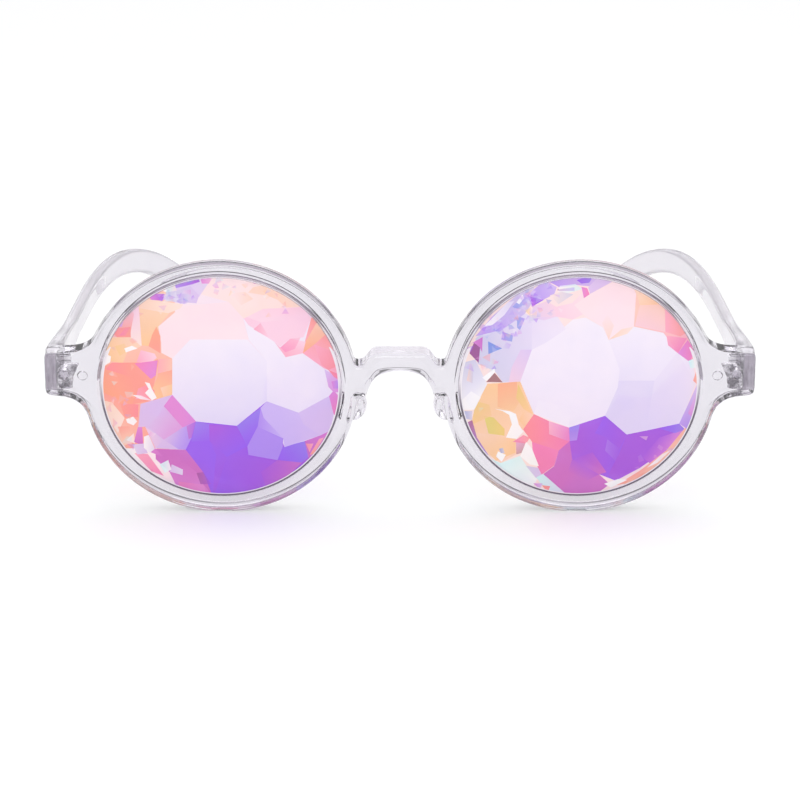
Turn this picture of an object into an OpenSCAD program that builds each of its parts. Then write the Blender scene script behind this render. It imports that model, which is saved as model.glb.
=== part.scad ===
// Round clear-framed glasses with faceted kaleidoscope lenses.
// X runs across the face, Y back along the arms, Z up. The glasses stand on the table, on both rims and both arm tips.

/* [Front] */
// Outer radius of each round rim
rim_r = 28.1; // [27.6:0.1:28.4]
// Radius of the opening in each rim, in front of and behind the lens
opening_r = 24.9; // [24.6:0.1:25]
// Distance of each lens centre from the middle of the bridge
lens_x = 36.95; // [36.8:0.05:37.1]
// Depth of the front, from its front face to its back face
front_d = 5; // [4.8:0.1:5.2]
// Rounding of the rims' outer edges
rim_round = 2; // [1.6:0.1:2.2]
// Lean of the front from upright, top forward, in degrees
tilt = 8.4; // [8:0.2:8.8]

/* [Lenses] */
// Radius of each lens where it sits in its groove
lens_r = 25.55; // [25.4:0.05:25.6]
// Thickness of the lens edge in the groove
lens_edge = 1.9; // [1.8:0.05:1.95]
// Depth of the middle facet behind the front face
lens_top = 0.3; // [0.2:0.1:0.6]
// Slope of the seven large facets round the middle one, in degrees
slope_1 = 5.5; // [5:0.5:6]
// Slope of the narrow facets along the edge, in degrees
slope_2 = 11; // [10:0.5:12]

/* [Arms] */
// Thickness of an arm along its straight part
arm_t = 2.5; // [2.4:0.1:2.6]
// Height of an arm along its straight part
arm_h = 5.5; // [5.3:0.1:5.7]
// Height of an arm where it meets the front
arm_h0 = 9.5; // [9.3:0.1:9.6]
// Length along the arm's outer upper edge, from its front end to its tip
arm_len = 149.2; // [149:0.1:149.4]
// Steepest downward slope of the ear hook, in degrees
hook_a = 44.6; // [44.4:0.1:44.8]
// Inward slope of the straight part, in degrees
inward_0 = 3.7; // [3.5:0.1:3.9]
// Further inward turn of the ear hook, in degrees
inward_1 = 32; // [31.5:0.1:32.5]

/* [Hinges] */
// Distance of each hinge axis from the middle
hinge_x = 69; // [68.9:0.05:69.1]
// Radius of the hinge barrel
barrel_r = 1.3; // [1.25:0.05:1.3]
// Radius of the hinge screw's shank
screw_r = 0.6; // [0.55:0.05:0.6]
// Radial clearance of the screw in the arm's knuckle
screw_gap = 0.06; // [0.04:0.01:0.08]

/* [Hidden] */

// Height of the lens centres above the table: the rims' lowest points stand a tenth of a millimetre below it before they are flattened
lens_z = (rim_r - rim_round) * cos(tilt) - rim_round * sin(tilt) + rim_round - 0.1;
// Middle of the glasses, front to back
mid_y = 64.743;
groove_w = 2.25;      // front wall of the lens groove, behind the front face
groove_d = 2;         // width of the groove
hinge_y = 6.4;        // hinge axis, behind the front face at lens height
hinge_z0 = 27.15;     // lowest point of the barrel
hinge_h = 5;          // length of the barrel
knuckle = 1.6;        // length of one knuckle
butt_gap = 0.05;      // gap between an arm's end and the front's back face, with the arm open
seat_q = -0.35;      // lowest point of the front leaf's seat
stud_x = 69.25;       // stud of the front leaf, sunk in the end piece
stud_q = 3.05;
web_z = hinge_z0 + 0.7; // lowest point of the lower knuckle's web, just above the seat's lower edge
pin_x = 65.5;         // shallow moulded dimple beside it
pin_q = 2;
eps = 0.02;
$fn = 96;

// Rounded corner points from angle a to angle b
function arc(c, r, a, b, n = 5) = [for (i = [0:n]) c + r * [cos(a + (b - a) * i / n), sin(a + (b - a) * i / n)]];

// The front leans: in here x is across, y is the depth behind the front face, z is the height in its plane
module lean() { translate([0, -mid_y, lens_z]) rotate([tilt, 0, 0]) children(); }
module stand() { translate([0, -mid_y, 0]) children(); }
module pair() { children(); mirror([1, 0, 0]) children(); }
// A flat outline in the front's plane, from depth w0 to depth w1
module slab(points, w0, w1) { translate([0, w1, 0]) rotate([90, 0, 0]) linear_extrude(w1 - w0) polygon(points); }
module disc(r, w0, w1) { translate([-lens_x, w1, 0]) rotate([90, 0, 0]) cylinder(r = r, h = w1 - w0, $fn = 180); }

// Outline of the front hinge leaf: wide at the top, its inner edge drawn in towards the foot. The seat is a little larger all round
leaf_outline = [[-69.2, seat_q + 5.2], [-66.3, seat_q + 5.2], [-66.9, 3.2], [-67.5, 1.9], [-67.55, 0.8], [-68, seat_q], [-70.4, seat_q], [-70.6, 0.6], [-70.6, 3.2]];
seat_outline = [for (p = leaf_outline) p + 0.03 * (p - [-68.8, 2]) / norm(p - [-68.8, 2])];

// Section of the solid rim, before the opening is cut: radius and height above the back face
rim_section = concat([[0, 0]], arc([rim_r - rim_round, rim_round], rim_round, -90, 0, 6),
                     arc([rim_r - rim_round, front_d - rim_round], rim_round, 0, 90, 6), [[0, front_d]]);

// End piece: upper edge from the rim out, rounded end, lower edge back to the rim
end_piece = concat([[-60, 15.2], [-61.8, 12.6], [-62.9, 10.9], [-64, 9.9], [-65.2, 9.15], [-66.6, 8.65], [-68.5, 8.35]],
                   arc([-72.15, 7.4], 0.9, 90, 180, 4), arc([-71.85, -0.1], 1.2, 180, 265, 5),
                   [[-70.5, -1.45], [-68.6, -1.8], [-67, -2.5], [-65.7, -3.6], [-64.7, -5], [-63.9, -6.9], [-63.1, -9.2], [-58, -8], [-57, 4], [-57, 12]]);

// Bridge: one upper edge, a flat-topped arch in front and a rounder, lower arch behind that beds on the nose
bridge_top = [[-11.5, 9.5], [-10.2, 6.8], [-9.5, 5.7], [-8.9, 5.4], [-8.1, 5.45], [-7.5, 5.7], [-6.6, 6.9], [-5.9, 7.75], [-5.2, 8.1], [-4.4, 8.15]];
arch_front = [[-12, -2], [-7.1, -2], [-7, -0.8], [-6.8, 0.4], [-6, 2.4], [-5.4, 3.3], [-4.5, 4.15], [-3, 4.5], [0, 4.6]];
arch_back = [[-12, -2.8], [-6.9, -2.8], [-6.4, -1.5], [-5.8, -0.1], [-5.2, 0.9], [-4.2, 1.8], [-2.5, 2.6], [0, 2.9]];
function half(top, low) = concat([[-12.2, 0]], low, [[0, 8.15]], [for (i = [len(top) - 1:-1:0]) top[i]]);

module bridge() {
    slab(half(bridge_top, arch_front), 0, 2.4);
    slab(half(bridge_top, arch_back), 2.3, front_d);
}

// Clear moulding: both rims, the bridge and both end pieces
module front_frame() {
    color([0.9, 0.89, 0.92, 0.5]) difference() {
        lean() difference() {
            union() {
                pair() {
                    translate([-lens_x, front_d, 0]) rotate([90, 0, 0]) rotate_extrude($fn = 180) polygon(rim_section);
                    slab(end_piece, 0, front_d);
                    bridge();
                }
            }
            pair() {
                disc(opening_r, -1, front_d + 1);
                disc(lens_r + 0.05, groove_w, groove_w + groove_d);
                // eased front edge of the opening
                translate([-lens_x, 0.6, 0]) rotate([90, 0, 0]) cylinder(r1 = opening_r - 0.1, r2 = opening_r + 1.2, h = 1.3, $fn = 180);
                // seat of the hinge leaf and hole for its stud
                slab(seat_outline, front_d - 0.9, front_d + 1);
                translate([-stud_x, front_d, stud_q]) rotate([90, 0, 0]) cylinder(r = 1.1 + eps, h = 3.4, $fn = 48);
                // shallow dimple
                translate([-pin_x, front_d + 1, pin_q]) rotate([90, 0, 0]) cylinder(r = 1, h = 1.5, $fn = 48);
            }
        }
        // relief behind the lower knuckle
        stand() pair() translate([-hinge_x - 0.8, hinge_y - barrel_r - 0.06, hinge_z0 - 1]) cube([1.6, 2, web_z - hinge_z0 + 1]);
        translate([-100, -120, -10]) cube([200, 100, 10]);
    }
}

// Clear pad on the nose side of a rim
module nose_pad_left() {
    color([0.9, 0.88, 0.92, 0.5]) lean() difference() {
        hull() {
            translate([-8.25, 3.5, -3.4]) sphere(r = 1.15, $fn = 32);
            translate([-8.9, 3.5, -6.2]) sphere(r = 0.95, $fn = 32);
            translate([-9.8, 7.2, -3.6]) sphere(r = 1.1, $fn = 32);
            translate([-11.2, 7, -7.2]) sphere(r = 1.1, $fn = 32);
            translate([-10.6, 4.4, -8.2]) sphere(r = 0.85, $fn = 32);
            translate([-12, 5.8, -3.7]) sphere(r = 0.9, $fn = 32);
        }
        disc(rim_r + eps, -2, front_d + eps);
        translate([-14, -1, -3 + eps]) cube([10, front_d + 1 + eps, 6]);
    }
}
module nose_pad_right() { mirror([1, 0, 0]) nose_pad_left(); }

// A half space behind a facet that slopes by a away from the middle, towards the direction d
module facet(d, a, depth) {
    rotate([0, d, 0]) translate([depth[0], depth[1], 0]) rotate([0, 0, a]) translate([-60, -20, -60]) cube([120, 20, 120]);
}

// Faceted crystal disc, its edge held in the groove
module lens(turn) {
    d1 = [for (i = [0:6]) turn + i * 360 / 7 + 7 * sin(i * 137)];
    d2 = [for (i = [0:13]) turn + 12 + i * 360 / 14 + 4 * sin(i * 101)];
    difference() {
        union() {
            translate([0, groove_w + 0.05 + lens_edge, 0]) rotate([90, 0, 0]) cylinder(r = lens_r, h = lens_edge, $fn = 180);
            translate([0, groove_w + 0.05 + lens_edge, 0]) rotate([90, 0, 0]) cylinder(r = opening_r - 0.1, h = groove_w + 0.05 + lens_edge - lens_top, $fn = 180);
        }
        for (i = [0:6]) facet(d1[i], slope_1, [9.5 + 1.5 * sin(i * 97), lens_top]);
        for (i = [0:13]) facet(d2[i], slope_2, [19 + 0.8 * sin(i * 53), lens_top + 0.95]);
    }
}
module lens_left() { color([0.93, 0.8, 0.93, 0.8]) lean() translate([-lens_x, 0, 0]) lens(0); }
module lens_right() { color([0.9, 0.8, 0.95, 0.8]) lean() translate([lens_x, 0, 0]) lens(25); }

// Metal leaf sunk in the back of an end piece, with its stud and the two outer knuckles
module front_hinge_left() {
    color([0.7, 0.69, 0.71]) difference() {
        union() {
            lean() {
                slab(leaf_outline, front_d - 0.9, front_d);
                translate([-stud_x, front_d - 0.5, stud_q]) rotate([90, 0, 0]) cylinder(r = 1.1, h = 2.8, $fn = 48);
            }
            stand() for (z = [hinge_z0, hinge_z0 + hinge_h - knuckle]) {
                translate([-hinge_x, hinge_y, z]) cylinder(r = barrel_r, h = knuckle, $fn = 48);
                // web from the leaf, inside the seat's height
                translate([-hinge_x - 0.9, 4.4, max(z, web_z)]) cube([1.8, hinge_y - 4.4 - 0.3, z + knuckle - max(z, web_z)]);
            }
        }
        stand() translate([-hinge_x, hinge_y, hinge_z0 - 1]) cylinder(r = screw_r + 0.01, h = hinge_h + 2, $fn = 48);
    }
}
module front_hinge_right() { mirror([1, 0, 0]) front_hinge_left(); }

// Slotted screw that is the hinge's pin
module hinge_screw_left() {
    color([0.78, 0.77, 0.78]) stand() translate([-hinge_x, hinge_y, 0]) difference() {
        union() {
            translate([0, 0, hinge_z0 - 0.1]) cylinder(r = screw_r, h = hinge_h + 0.4, $fn = 48);
            translate([0, 0, hinge_z0 + hinge_h + 0.02]) cylinder(r = 1.1, h = 0.65, $fn = 48);
        }
        translate([-2, -0.15, hinge_z0 + hinge_h + 0.4]) cube([4, 0.3, 1]);
    }
}
module hinge_screw_right() { mirror([1, 0, 0]) hinge_screw_left(); }

// Course of an arm's outer upper edge
function ease(t) = let (u = min(max(t, 0), 1)) u * u * (3 - 2 * u);
function drop(s) = hook_a * ease((s - 70.5) / 70.6);
function inward(s) = inward_0 + inward_1 * ease((s - 45.7) / 96);
function along(s) = [cos(drop(s)) * sin(inward(s)), cos(drop(s)) * cos(inward(s)), -sin(drop(s))];
function across(s) = [cos(inward(s)), -sin(inward(s)), 0];
rings = 64;
step = arm_len / rings;
course = [for (i = 0, p = [-73.25, 3, 33.9]; i <= rings; p = p + step * along((i + 0.5) * step), i = i + 1) p];
// Section at length s: its thickness, height, rise above the course, and the rounding of the tip
function tip(s) = s < arm_len - 2.6 ? 1 : sqrt(max(1 - pow((s - arm_len + 2.6) / 2.7, 2), 0.04));
function thick(s) = arm_t + 0.75 * (1 - ease(s / 30));
function tall(s) = arm_h + (arm_h0 - arm_h) * (1 - ease((s - 3) / 32));
function rise(s) = 1.75 * (1 - ease((s - 3) / 28));
function section(t, h, r) = concat(arc([t - r, -r], r, 90, 0, 3), arc([t - r, r - h], r, 0, -90, 3), arc([r, r - h], r, -90, -180, 3), arc([r, -r], r, 180, 90, 3));
function ring(i) = let (s = i * step, t = thick(s), h = tall(s), k = tip(s), a = across(s), u = cross(a, along(s)))
    [for (q = section(t, h, 0.95)) course[i] + a * (t / 2 + (q[0] - t / 2) * k) + u * (rise(s) - h / 2 + (q[1] + h / 2) * k)];
arm_points = [for (i = [0:rings]) each ring(i)];
sides = 16;
arm_faces = concat([[for (j = [0:sides - 1]) j]],
                   [for (i = [0:rings - 1], j = [0:sides - 1]) [i * sides + j, (i + 1) * sides + j, (i + 1) * sides + (j + 1) % sides, i * sides + (j + 1) % sides]],
                   [[for (j = [sides - 1:-1:0]) rings * sides + j]]);

// Hinge leaf of an arm, in plan: flat shank and a tapered tang sunk in the plastic
leaf = [[-70.85, 8], [-69.6, 8], [-69.45, 10.6], [-69.75, 10.7], [-70.05, 16.5], [-70.25, 16.5], [-70.7, 10.7]];
module leaf_plan(grow) {
    translate([0, 0, hinge_z0 + 0.2 - grow]) linear_extrude(hinge_h - 0.4 + 2 * grow)
        polygon([for (i = [0:len(leaf) - 1]) leaf[i] + grow * [i == 1 || i == 2 ? 1 : i == 3 || i == 4 ? 1 : -1, i == 4 || i == 5 ? 1 : 0]]);
}

// Clear arm with its ear hook
module temple_left() {
    color([0.9, 0.89, 0.92, 0.5]) difference() {
        stand() polyhedron(points = arm_points, faces = arm_faces, convexity = 6);
        lean() translate([-80, front_d + butt_gap - 20, -20]) cube([20, 20, 40]);
        stand() translate([-hinge_x, hinge_y, hinge_z0 - 0.4]) cylinder(r = barrel_r + 0.35, h = hinge_h + 1.6, $fn = 48);
        stand() leaf_plan(eps);
        // room for the web of the middle knuckle
        stand() translate([-70.6 - eps, hinge_y + 0.4 - eps, hinge_z0 + knuckle + 0.1 - eps]) cube([3, 1.7 + 2 * eps, knuckle + 2 * eps]);
        translate([-100, 0, -10]) cube([200, 100, 10]);
    }
}
module temple_right() { mirror([1, 0, 0]) temple_left(); }

// Metal leaf of an arm, with the middle knuckle
module temple_hinge_left() {
    color([0.7, 0.69, 0.71]) stand() difference() {
        union() {
            leaf_plan(0);
            translate([-hinge_x, hinge_y, hinge_z0 + knuckle + 0.1]) cylinder(r = barrel_r, h = knuckle, $fn = 48);
            translate([-70.6, hinge_y + 0.4, hinge_z0 + knuckle + 0.1]) cube([1.9, 1.7, knuckle]);
        }
        translate([-hinge_x, hinge_y, hinge_z0 - 1]) cylinder(r = screw_r + screw_gap, h = hinge_h + 2, $fn = 48);
        // clear of the front leaf's knuckles
        for (z = [hinge_z0 - 1, hinge_z0 + hinge_h - knuckle - 0.1])
            translate([-hinge_x, hinge_y, z]) cylinder(r = barrel_r + 0.1, h = knuckle + 1.1, $fn = 48);
    }
}
module temple_hinge_right() { mirror([1, 0, 0]) temple_hinge_left(); }

front_frame();
nose_pad_left();
nose_pad_right();
lens_left();
lens_right();
front_hinge_left();
front_hinge_right();
hinge_screw_left();
hinge_screw_right();
temple_left();
temple_right();
temple_hinge_left();
temple_hinge_right();
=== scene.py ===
import math
import random

import bmesh
import bpy
import numpy as np
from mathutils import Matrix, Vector
from mathutils.geometry import delaunay_2d_cdt


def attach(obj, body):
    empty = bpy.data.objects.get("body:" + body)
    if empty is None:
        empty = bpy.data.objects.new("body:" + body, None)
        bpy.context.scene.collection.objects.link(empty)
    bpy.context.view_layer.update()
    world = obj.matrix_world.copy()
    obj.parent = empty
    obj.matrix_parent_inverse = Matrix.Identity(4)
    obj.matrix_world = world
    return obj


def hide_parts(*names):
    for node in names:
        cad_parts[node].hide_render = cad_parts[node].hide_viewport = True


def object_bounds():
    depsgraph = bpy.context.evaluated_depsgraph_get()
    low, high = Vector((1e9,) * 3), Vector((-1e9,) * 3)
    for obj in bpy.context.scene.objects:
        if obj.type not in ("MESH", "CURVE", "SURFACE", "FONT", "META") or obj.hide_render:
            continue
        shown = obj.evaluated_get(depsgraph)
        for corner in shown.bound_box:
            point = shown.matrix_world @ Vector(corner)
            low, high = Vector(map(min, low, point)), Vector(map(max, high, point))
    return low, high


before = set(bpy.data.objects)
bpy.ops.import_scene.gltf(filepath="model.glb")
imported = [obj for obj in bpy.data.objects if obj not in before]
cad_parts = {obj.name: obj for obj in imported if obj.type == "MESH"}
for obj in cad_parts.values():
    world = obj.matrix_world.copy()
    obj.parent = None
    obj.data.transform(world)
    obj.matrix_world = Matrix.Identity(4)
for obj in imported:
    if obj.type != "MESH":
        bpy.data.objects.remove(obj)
cad_low, cad_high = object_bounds()
MM = 0.001

# ------------------------------------------------------------------ the frame's own measures, in mm
TILT = math.radians(8.4)
CT, ST = math.cos(TILT), math.sin(TILT)
RIM_R, OPEN_R, LENS_X, DEPTH, ROUND = 28.1, 24.9, 36.95, 5.0, 2.0
LENS_Z = (RIM_R - ROUND) * CT - ROUND * ST + ROUND - 0.1
MID_Y = 64.743
HINGE_X, HINGE_Y = 69.0, 6.4
RIM_V, ROUND_V, ROUND_B = 28.08, 0.55, 2.2  # the moulding as seen: a tighter rounding in front than behind, inside the CAD solid's box


def lean(x, w, q):
    """The front's own axes (across, depth behind its face, height in its plane) to the row frame, in mm."""
    return np.stack([x, w * CT - q * ST - MID_Y, w * ST + q * CT + LENS_Z], -1)


def mesh_object(name, verts, faces, smooth=True):
    me = bpy.data.meshes.new(name)
    me.from_pydata([tuple(v) for v in np.asarray(verts, float) * MM], [], [tuple(int(i) for i in f) for f in faces])
    me.validate()
    me.polygons.foreach_set("use_smooth", [smooth] * len(me.polygons))
    me.update()
    ob = bpy.data.objects.new(name, me)
    bpy.context.collection.objects.link(ob)
    return ob


# ------------------------------------------------------------------ materials
def new_material(name):
    m = bpy.data.materials.new(name)
    m.use_nodes = True
    nt = m.node_tree
    return m, nt, nt.nodes["Principled BSDF"], nt.nodes["Material Output"]


def noise(nt, scale, detail=3.0, rough=0.5, coords="Object"):
    tc = nt.nodes.new("ShaderNodeTexCoord")
    n = nt.nodes.new("ShaderNodeTexNoise")
    n.inputs["Scale"].default_value = scale
    n.inputs["Detail"].default_value = detail
    n.inputs["Roughness"].default_value = rough
    nt.links.new(tc.outputs[coords], n.inputs["Vector"])
    return n


def ramp(nt, fac, stops):
    r = nt.nodes.new("ShaderNodeValToRGB")
    els = r.color_ramp.elements
    while len(els) < len(stops):
        els.new(0.5)
    for e, (p, c) in zip(els, stops):
        e.position = p
        e.color = (*c, 1.0) if len(c) == 3 else c
    nt.links.new(fac, r.inputs["Fac"])
    return r


def range_to(nt, fac, low, high, f0=0.3, f1=0.7):
    r = nt.nodes.new("ShaderNodeMapRange")
    r.inputs["From Min"].default_value = f0
    r.inputs["From Max"].default_value = f1
    r.inputs["To Min"].default_value = low
    r.inputs["To Max"].default_value = high
    nt.links.new(fac, r.inputs["Value"])
    return r


def through_shadow(m, nt, bsdf, out, tint):
    """Lamps pass through a clear piece: its shadow is only as dark as its tint."""
    lp = nt.nodes.new("ShaderNodeLightPath")
    tr = nt.nodes.new("ShaderNodeBsdfTransparent")
    tr.inputs["Color"].default_value = (*tint, 1)
    mix = nt.nodes.new("ShaderNodeMixShader")
    nt.links.new(lp.outputs["Is Shadow Ray"], mix.inputs[0])
    nt.links.new(bsdf.outputs[0], mix.inputs[1])
    nt.links.new(tr.outputs[0], mix.inputs[2])
    nt.links.new(mix.outputs[0], out.inputs["Surface"])


def clear_plastic(name, tint_a, tint_b, scale=60.0, milk=0.0):
    """Tumbled clear plastic: a faint cast that drifts through the moulding, a fine orange-peel and hairline scuffs."""
    m, nt, b, out = new_material(name)
    n = noise(nt, scale, 2.0)
    col = ramp(nt, n.outputs["Fac"], [(0.3, tint_a), (0.7, tint_b)])
    nt.links.new(col.outputs["Color"], b.inputs["Base Color"])
    b.inputs["Transmission Weight"].default_value = 1.0 - milk
    b.inputs["IOR"].default_value = 1.5
    scuff = noise(nt, 900.0, 4.0, 0.7)
    rr = range_to(nt, scuff.outputs["Fac"], 0.0, 0.03)
    nt.links.new(rr.outputs["Result"], b.inputs["Roughness"])
    peel = noise(nt, 420.0, 1.0)
    bump = nt.nodes.new("ShaderNodeBump")
    bump.inputs["Strength"].default_value = 0.03
    bump.inputs["Distance"].default_value = 0.0002
    nt.links.new(peel.outputs["Fac"], bump.inputs["Height"])
    nt.links.new(bump.outputs["Normal"], b.inputs["Normal"])
    through_shadow(m, nt, b, out, (0.82, 0.82, 0.83))
    return m


def metal(name, base_a, base_b, rough_a, rough_b, scale=900.0, spread=0.2):
    m, nt, b, out = new_material(name)
    n = noise(nt, scale, 5.0, 0.6)
    col = ramp(nt, n.outputs["Fac"], [(0.5 - spread, base_a), (0.5 + spread, base_b)])
    nt.links.new(col.outputs["Color"], b.inputs["Base Color"])
    b.inputs["Metallic"].default_value = 1.0
    fine = noise(nt, 2600.0, 3.0, 0.7)
    rr = range_to(nt, fine.outputs["Fac"], rough_a, rough_b)
    nt.links.new(rr.outputs["Result"], b.inputs["Roughness"])
    bump = nt.nodes.new("ShaderNodeBump")
    bump.inputs["Strength"].default_value = 0.15
    bump.inputs["Distance"].default_value = 0.00005
    nt.links.new(fine.outputs["Fac"], bump.inputs["Height"])
    nt.links.new(bump.outputs["Normal"], b.inputs["Normal"])
    return m


plastic = clear_plastic("clear_plastic", (0.765, 0.74, 0.79), (0.805, 0.785, 0.83))
arm_plastic = clear_plastic("clear_plastic_arm", (0.83, 0.81, 0.85), (0.87, 0.85, 0.88), milk=0.4)
# the hinge metal's strong light and dark blotches in its base colour are painted reflections: the highlights and dark
# patches of a mirror-bright hinge
hinge_metal = metal("hinge_metal", (0.22, 0.21, 0.23), (0.78, 0.77, 0.79), 0.14, 0.34, 620.0, 0.09)
screw_metal = metal("screw_steel", (0.60, 0.59, 0.61), (0.75, 0.74, 0.76), 0.12, 0.24)


# ------------------------------------------------------------------ shapes as distance fields
def smin(a, b, k):
    h = np.clip(0.5 + 0.5 * (b - a) / k, 0, 1)
    return b + (a - b) * h - k * h * (1 - h)


def smax(a, b, k):
    return -smin(-a, -b, k)


def ramp01(v, a, b):
    t = np.clip((v - a) / (b - a), 0, 1)
    return t * t * (3 - 2 * t)


def curve_through(points, closed=True, n=5):
    """Points of a smooth line through the given ones."""
    p = np.asarray(points, float)
    out = []
    m = len(p)
    for i in range(m if closed else m - 1):
        a, b = p[i], p[(i + 1) % m]
        p0 = p[i - 1] if closed or i > 0 else a
        p3 = p[(i + 2) % m] if closed or i + 2 < m else b
        # shorter tangents where neighbours are far apart keep the line from swinging out
        d0, d1, d2 = np.linalg.norm(a - p0) ** 0.5, np.linalg.norm(b - a) ** 0.5, np.linalg.norm(p3 - b) ** 0.5
        d0, d1, d2 = max(d0, 1e-6), max(d1, 1e-6), max(d2, 1e-6)
        t1 = (a - p0) / d0 - (b - p0) / (d0 + d1) + (b - a) / d1
        t2 = (b - a) / d1 - (p3 - a) / (d1 + d2) + (p3 - b) / d2
        t1, t2 = t1 * d1, t2 * d1
        for k in range(n):
            t = k / n
            out.append((2 * t**3 - 3 * t**2 + 1) * a + (t**3 - 2 * t**2 + t) * t1 + (-2 * t**3 + 3 * t**2) * b + (t**3 - t**2) * t2)
    if not closed:
        out.append(p[-1])
    return np.array(out)


def poly_sdf(px, py, poly):
    """Signed distance to a closed outline, negative inside."""
    d = np.full(px.shape, 1e9)
    inside = np.zeros(px.shape, bool)
    n = len(poly)
    for i in range(n):
        ax, ay = poly[i]
        bx, by = poly[(i + 1) % n]
        ex, ey = bx - ax, by - ay
        wx, wy = px - ax, py - ay
        t = np.clip((wx * ex + wy * ey) / (ex * ex + ey * ey + 1e-12), 0, 1)
        dx, dy = wx - ex * t, wy - ey * t
        np.minimum(d, dx * dx + dy * dy, out=d)
        cond = (ay > py) != (by > py)
        with np.errstate(divide="ignore", invalid="ignore"):
            xi = ex * (py - ay) / (ey if abs(ey) > 1e-12 else 1e-12) + ax
        inside ^= cond & (px < xi)
    return np.sqrt(d) * np.where(inside, -1, 1)


END_PIECE = curve_through([
    (-60, 15.2), (-61.8, 12.6), (-62.9, 10.9), (-64, 9.9), (-65.2, 9.15), (-66.6, 8.65), (-68.5, 8.38), (-70.5, 8.32),
    (-72.0, 8.3), (-72.7, 8.05), (-73.0, 7.4), (-73.04, 5), (-73.05, 2), (-73.0, -0.1), (-72.75, -0.85), (-72.1, -1.25),
    (-70.5, -1.45), (-68.6, -1.8), (-67, -2.5), (-65.7, -3.6), (-64.7, -5), (-63.9, -6.9), (-63.1, -9.2), (-61.5, -11),
    (-59.5, -8), (-59, 4), (-59, 11)])
BRIDGE_FRONT = curve_through([
    (-11.8, 9.5), (-10.2, 6.9), (-9.5, 5.8), (-8.9, 5.4), (-8.1, 5.42), (-7.4, 5.8), (-6.6, 6.85), (-5.9, 7.7), (-5.1, 8.08), (-4, 8.15),
    (0, 8.16), (4, 8.15), (5.1, 8.08), (5.9, 7.7), (6.6, 6.85), (7.4, 5.8), (8.1, 5.42), (8.9, 5.4), (9.5, 5.8), (10.2, 6.9), (11.8, 9.5),
    (14, 3), (13, -1.2), (11, -1.9), (7.6, -2.0), (7.15, -1.6), (7, -0.8), (6.75, 0.5), (6.1, 2.2), (5.4, 3.25), (4.5, 4.05), (3, 4.45), (0, 4.6),
    (-3, 4.45), (-4.5, 4.05), (-5.4, 3.25), (-6.1, 2.2), (-6.75, 0.5), (-7, -0.8), (-7.15, -1.6), (-7.6, -2.0), (-11, -1.9), (-13, -1.2), (-14, 3)])
BRIDGE_MID = curve_through([
    (-11.8, 9.5), (-10.2, 6.9), (-9.5, 5.8), (-8.9, 5.4), (-8.1, 5.42), (-7.4, 5.8), (-6.6, 6.85), (-5.9, 7.7), (-5.1, 8.08), (-4, 8.15),
    (0, 8.16), (4, 8.15), (5.1, 8.08), (5.9, 7.7), (6.6, 6.85), (7.4, 5.8), (8.1, 5.42), (8.9, 5.4), (9.5, 5.8), (10.2, 6.9), (11.8, 9.5),
    (14, 3), (13, -1.6), (11, -2.3), (7.6, -2.5), (7.05, -2.1), (6.7, -1.1), (6.3, 0.0), (5.75, 1.15), (5.0, 2.1), (4.1, 2.68), (3.2, 3.02), (1.7, 3.42), (0, 3.6),
    (-1.7, 3.42), (-3.2, 3.02), (-4.1, 2.68), (-5.0, 2.1), (-5.75, 1.15), (-6.3, 0.0), (-6.7, -1.1), (-7.05, -2.1), (-7.6, -2.5), (-11, -2.3), (-13, -1.6), (-14, 3)])
BRIDGE_BACK = curve_through([
    (-11.8, 9.5), (-10.2, 6.9), (-9.5, 5.8), (-8.9, 5.4), (-8.1, 5.42), (-7.4, 5.8), (-6.6, 6.85), (-5.9, 7.7), (-5.1, 8.08), (-4, 8.15),
    (0, 8.16), (4, 8.15), (5.1, 8.08), (5.9, 7.7), (6.6, 6.85), (7.4, 5.8), (8.1, 5.42), (8.9, 5.4), (9.5, 5.8), (10.2, 6.9), (11.8, 9.5),
    (14, 3), (13, -2.2), (11, -2.9), (7.6, -3.2), (6.95, -2.8), (6.45, -1.4), (5.9, -0.1), (5.2, 0.95), (4.2, 1.8), (2.4, 2.6), (0, 2.95),
    (-2.4, 2.6), (-4.2, 1.8), (-5.2, 0.95), (-5.9, -0.1), (-6.45, -1.4), (-6.95, -2.8), (-7.6, -3.2), (-11, -2.9), (-13, -2.2), (-14, 3)])


class Plate:
    """An outline's distance, worked out once on a fine flat grid and read off between its points."""

    def __init__(self, poly, x0, x1, q0, q1, h=0.1):
        self.x0, self.q0, self.h = x0, q0, h
        X, Z = np.meshgrid(np.arange(x0, x1 + h, h), np.arange(q0, q1 + h, h), indexing="ij")
        self.F = poly_sdf(X, Z, poly)

    def __call__(self, x, q):
        u, v = (x - self.x0) / self.h, (q - self.q0) / self.h
        nx, nq = self.F.shape
        out_of = np.hypot(np.maximum(np.maximum(-u, u - nx + 1.001), 0), np.maximum(np.maximum(-v, v - nq + 1.001), 0)) * self.h
        u, v = np.clip(u, 0, nx - 1.001), np.clip(v, 0, nq - 1.001)
        i, j = u.astype(int), v.astype(int)
        a, b = u - i, v - j
        F = self.F
        return (F[i, j] * (1 - a) + F[i + 1, j] * a) * (1 - b) + (F[i, j + 1] * (1 - a) + F[i + 1, j + 1] * a) * b + out_of


ends_plate = Plate(END_PIECE, -76, -54, -18, 20)
arch_plate = Plate(BRIDGE_FRONT, -18, 18, -9, 16)
mid_plate = Plate(BRIDGE_MID, -18, 18, -9, 16)
nose_plate = Plate(BRIDGE_BACK, -18, 18, -9, 16)
LEAF = np.array([(-69.2, 4.85), (-66.3, 4.85), (-66.9, 3.2), (-67.5, 1.9), (-67.55, 0.8), (-68, -0.35), (-70.4, -0.35), (-70.6, 0.6), (-70.6, 3.2)])
seat_plate = Plate(LEAF, -74, -63, -4, 9, 0.05)


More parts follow.
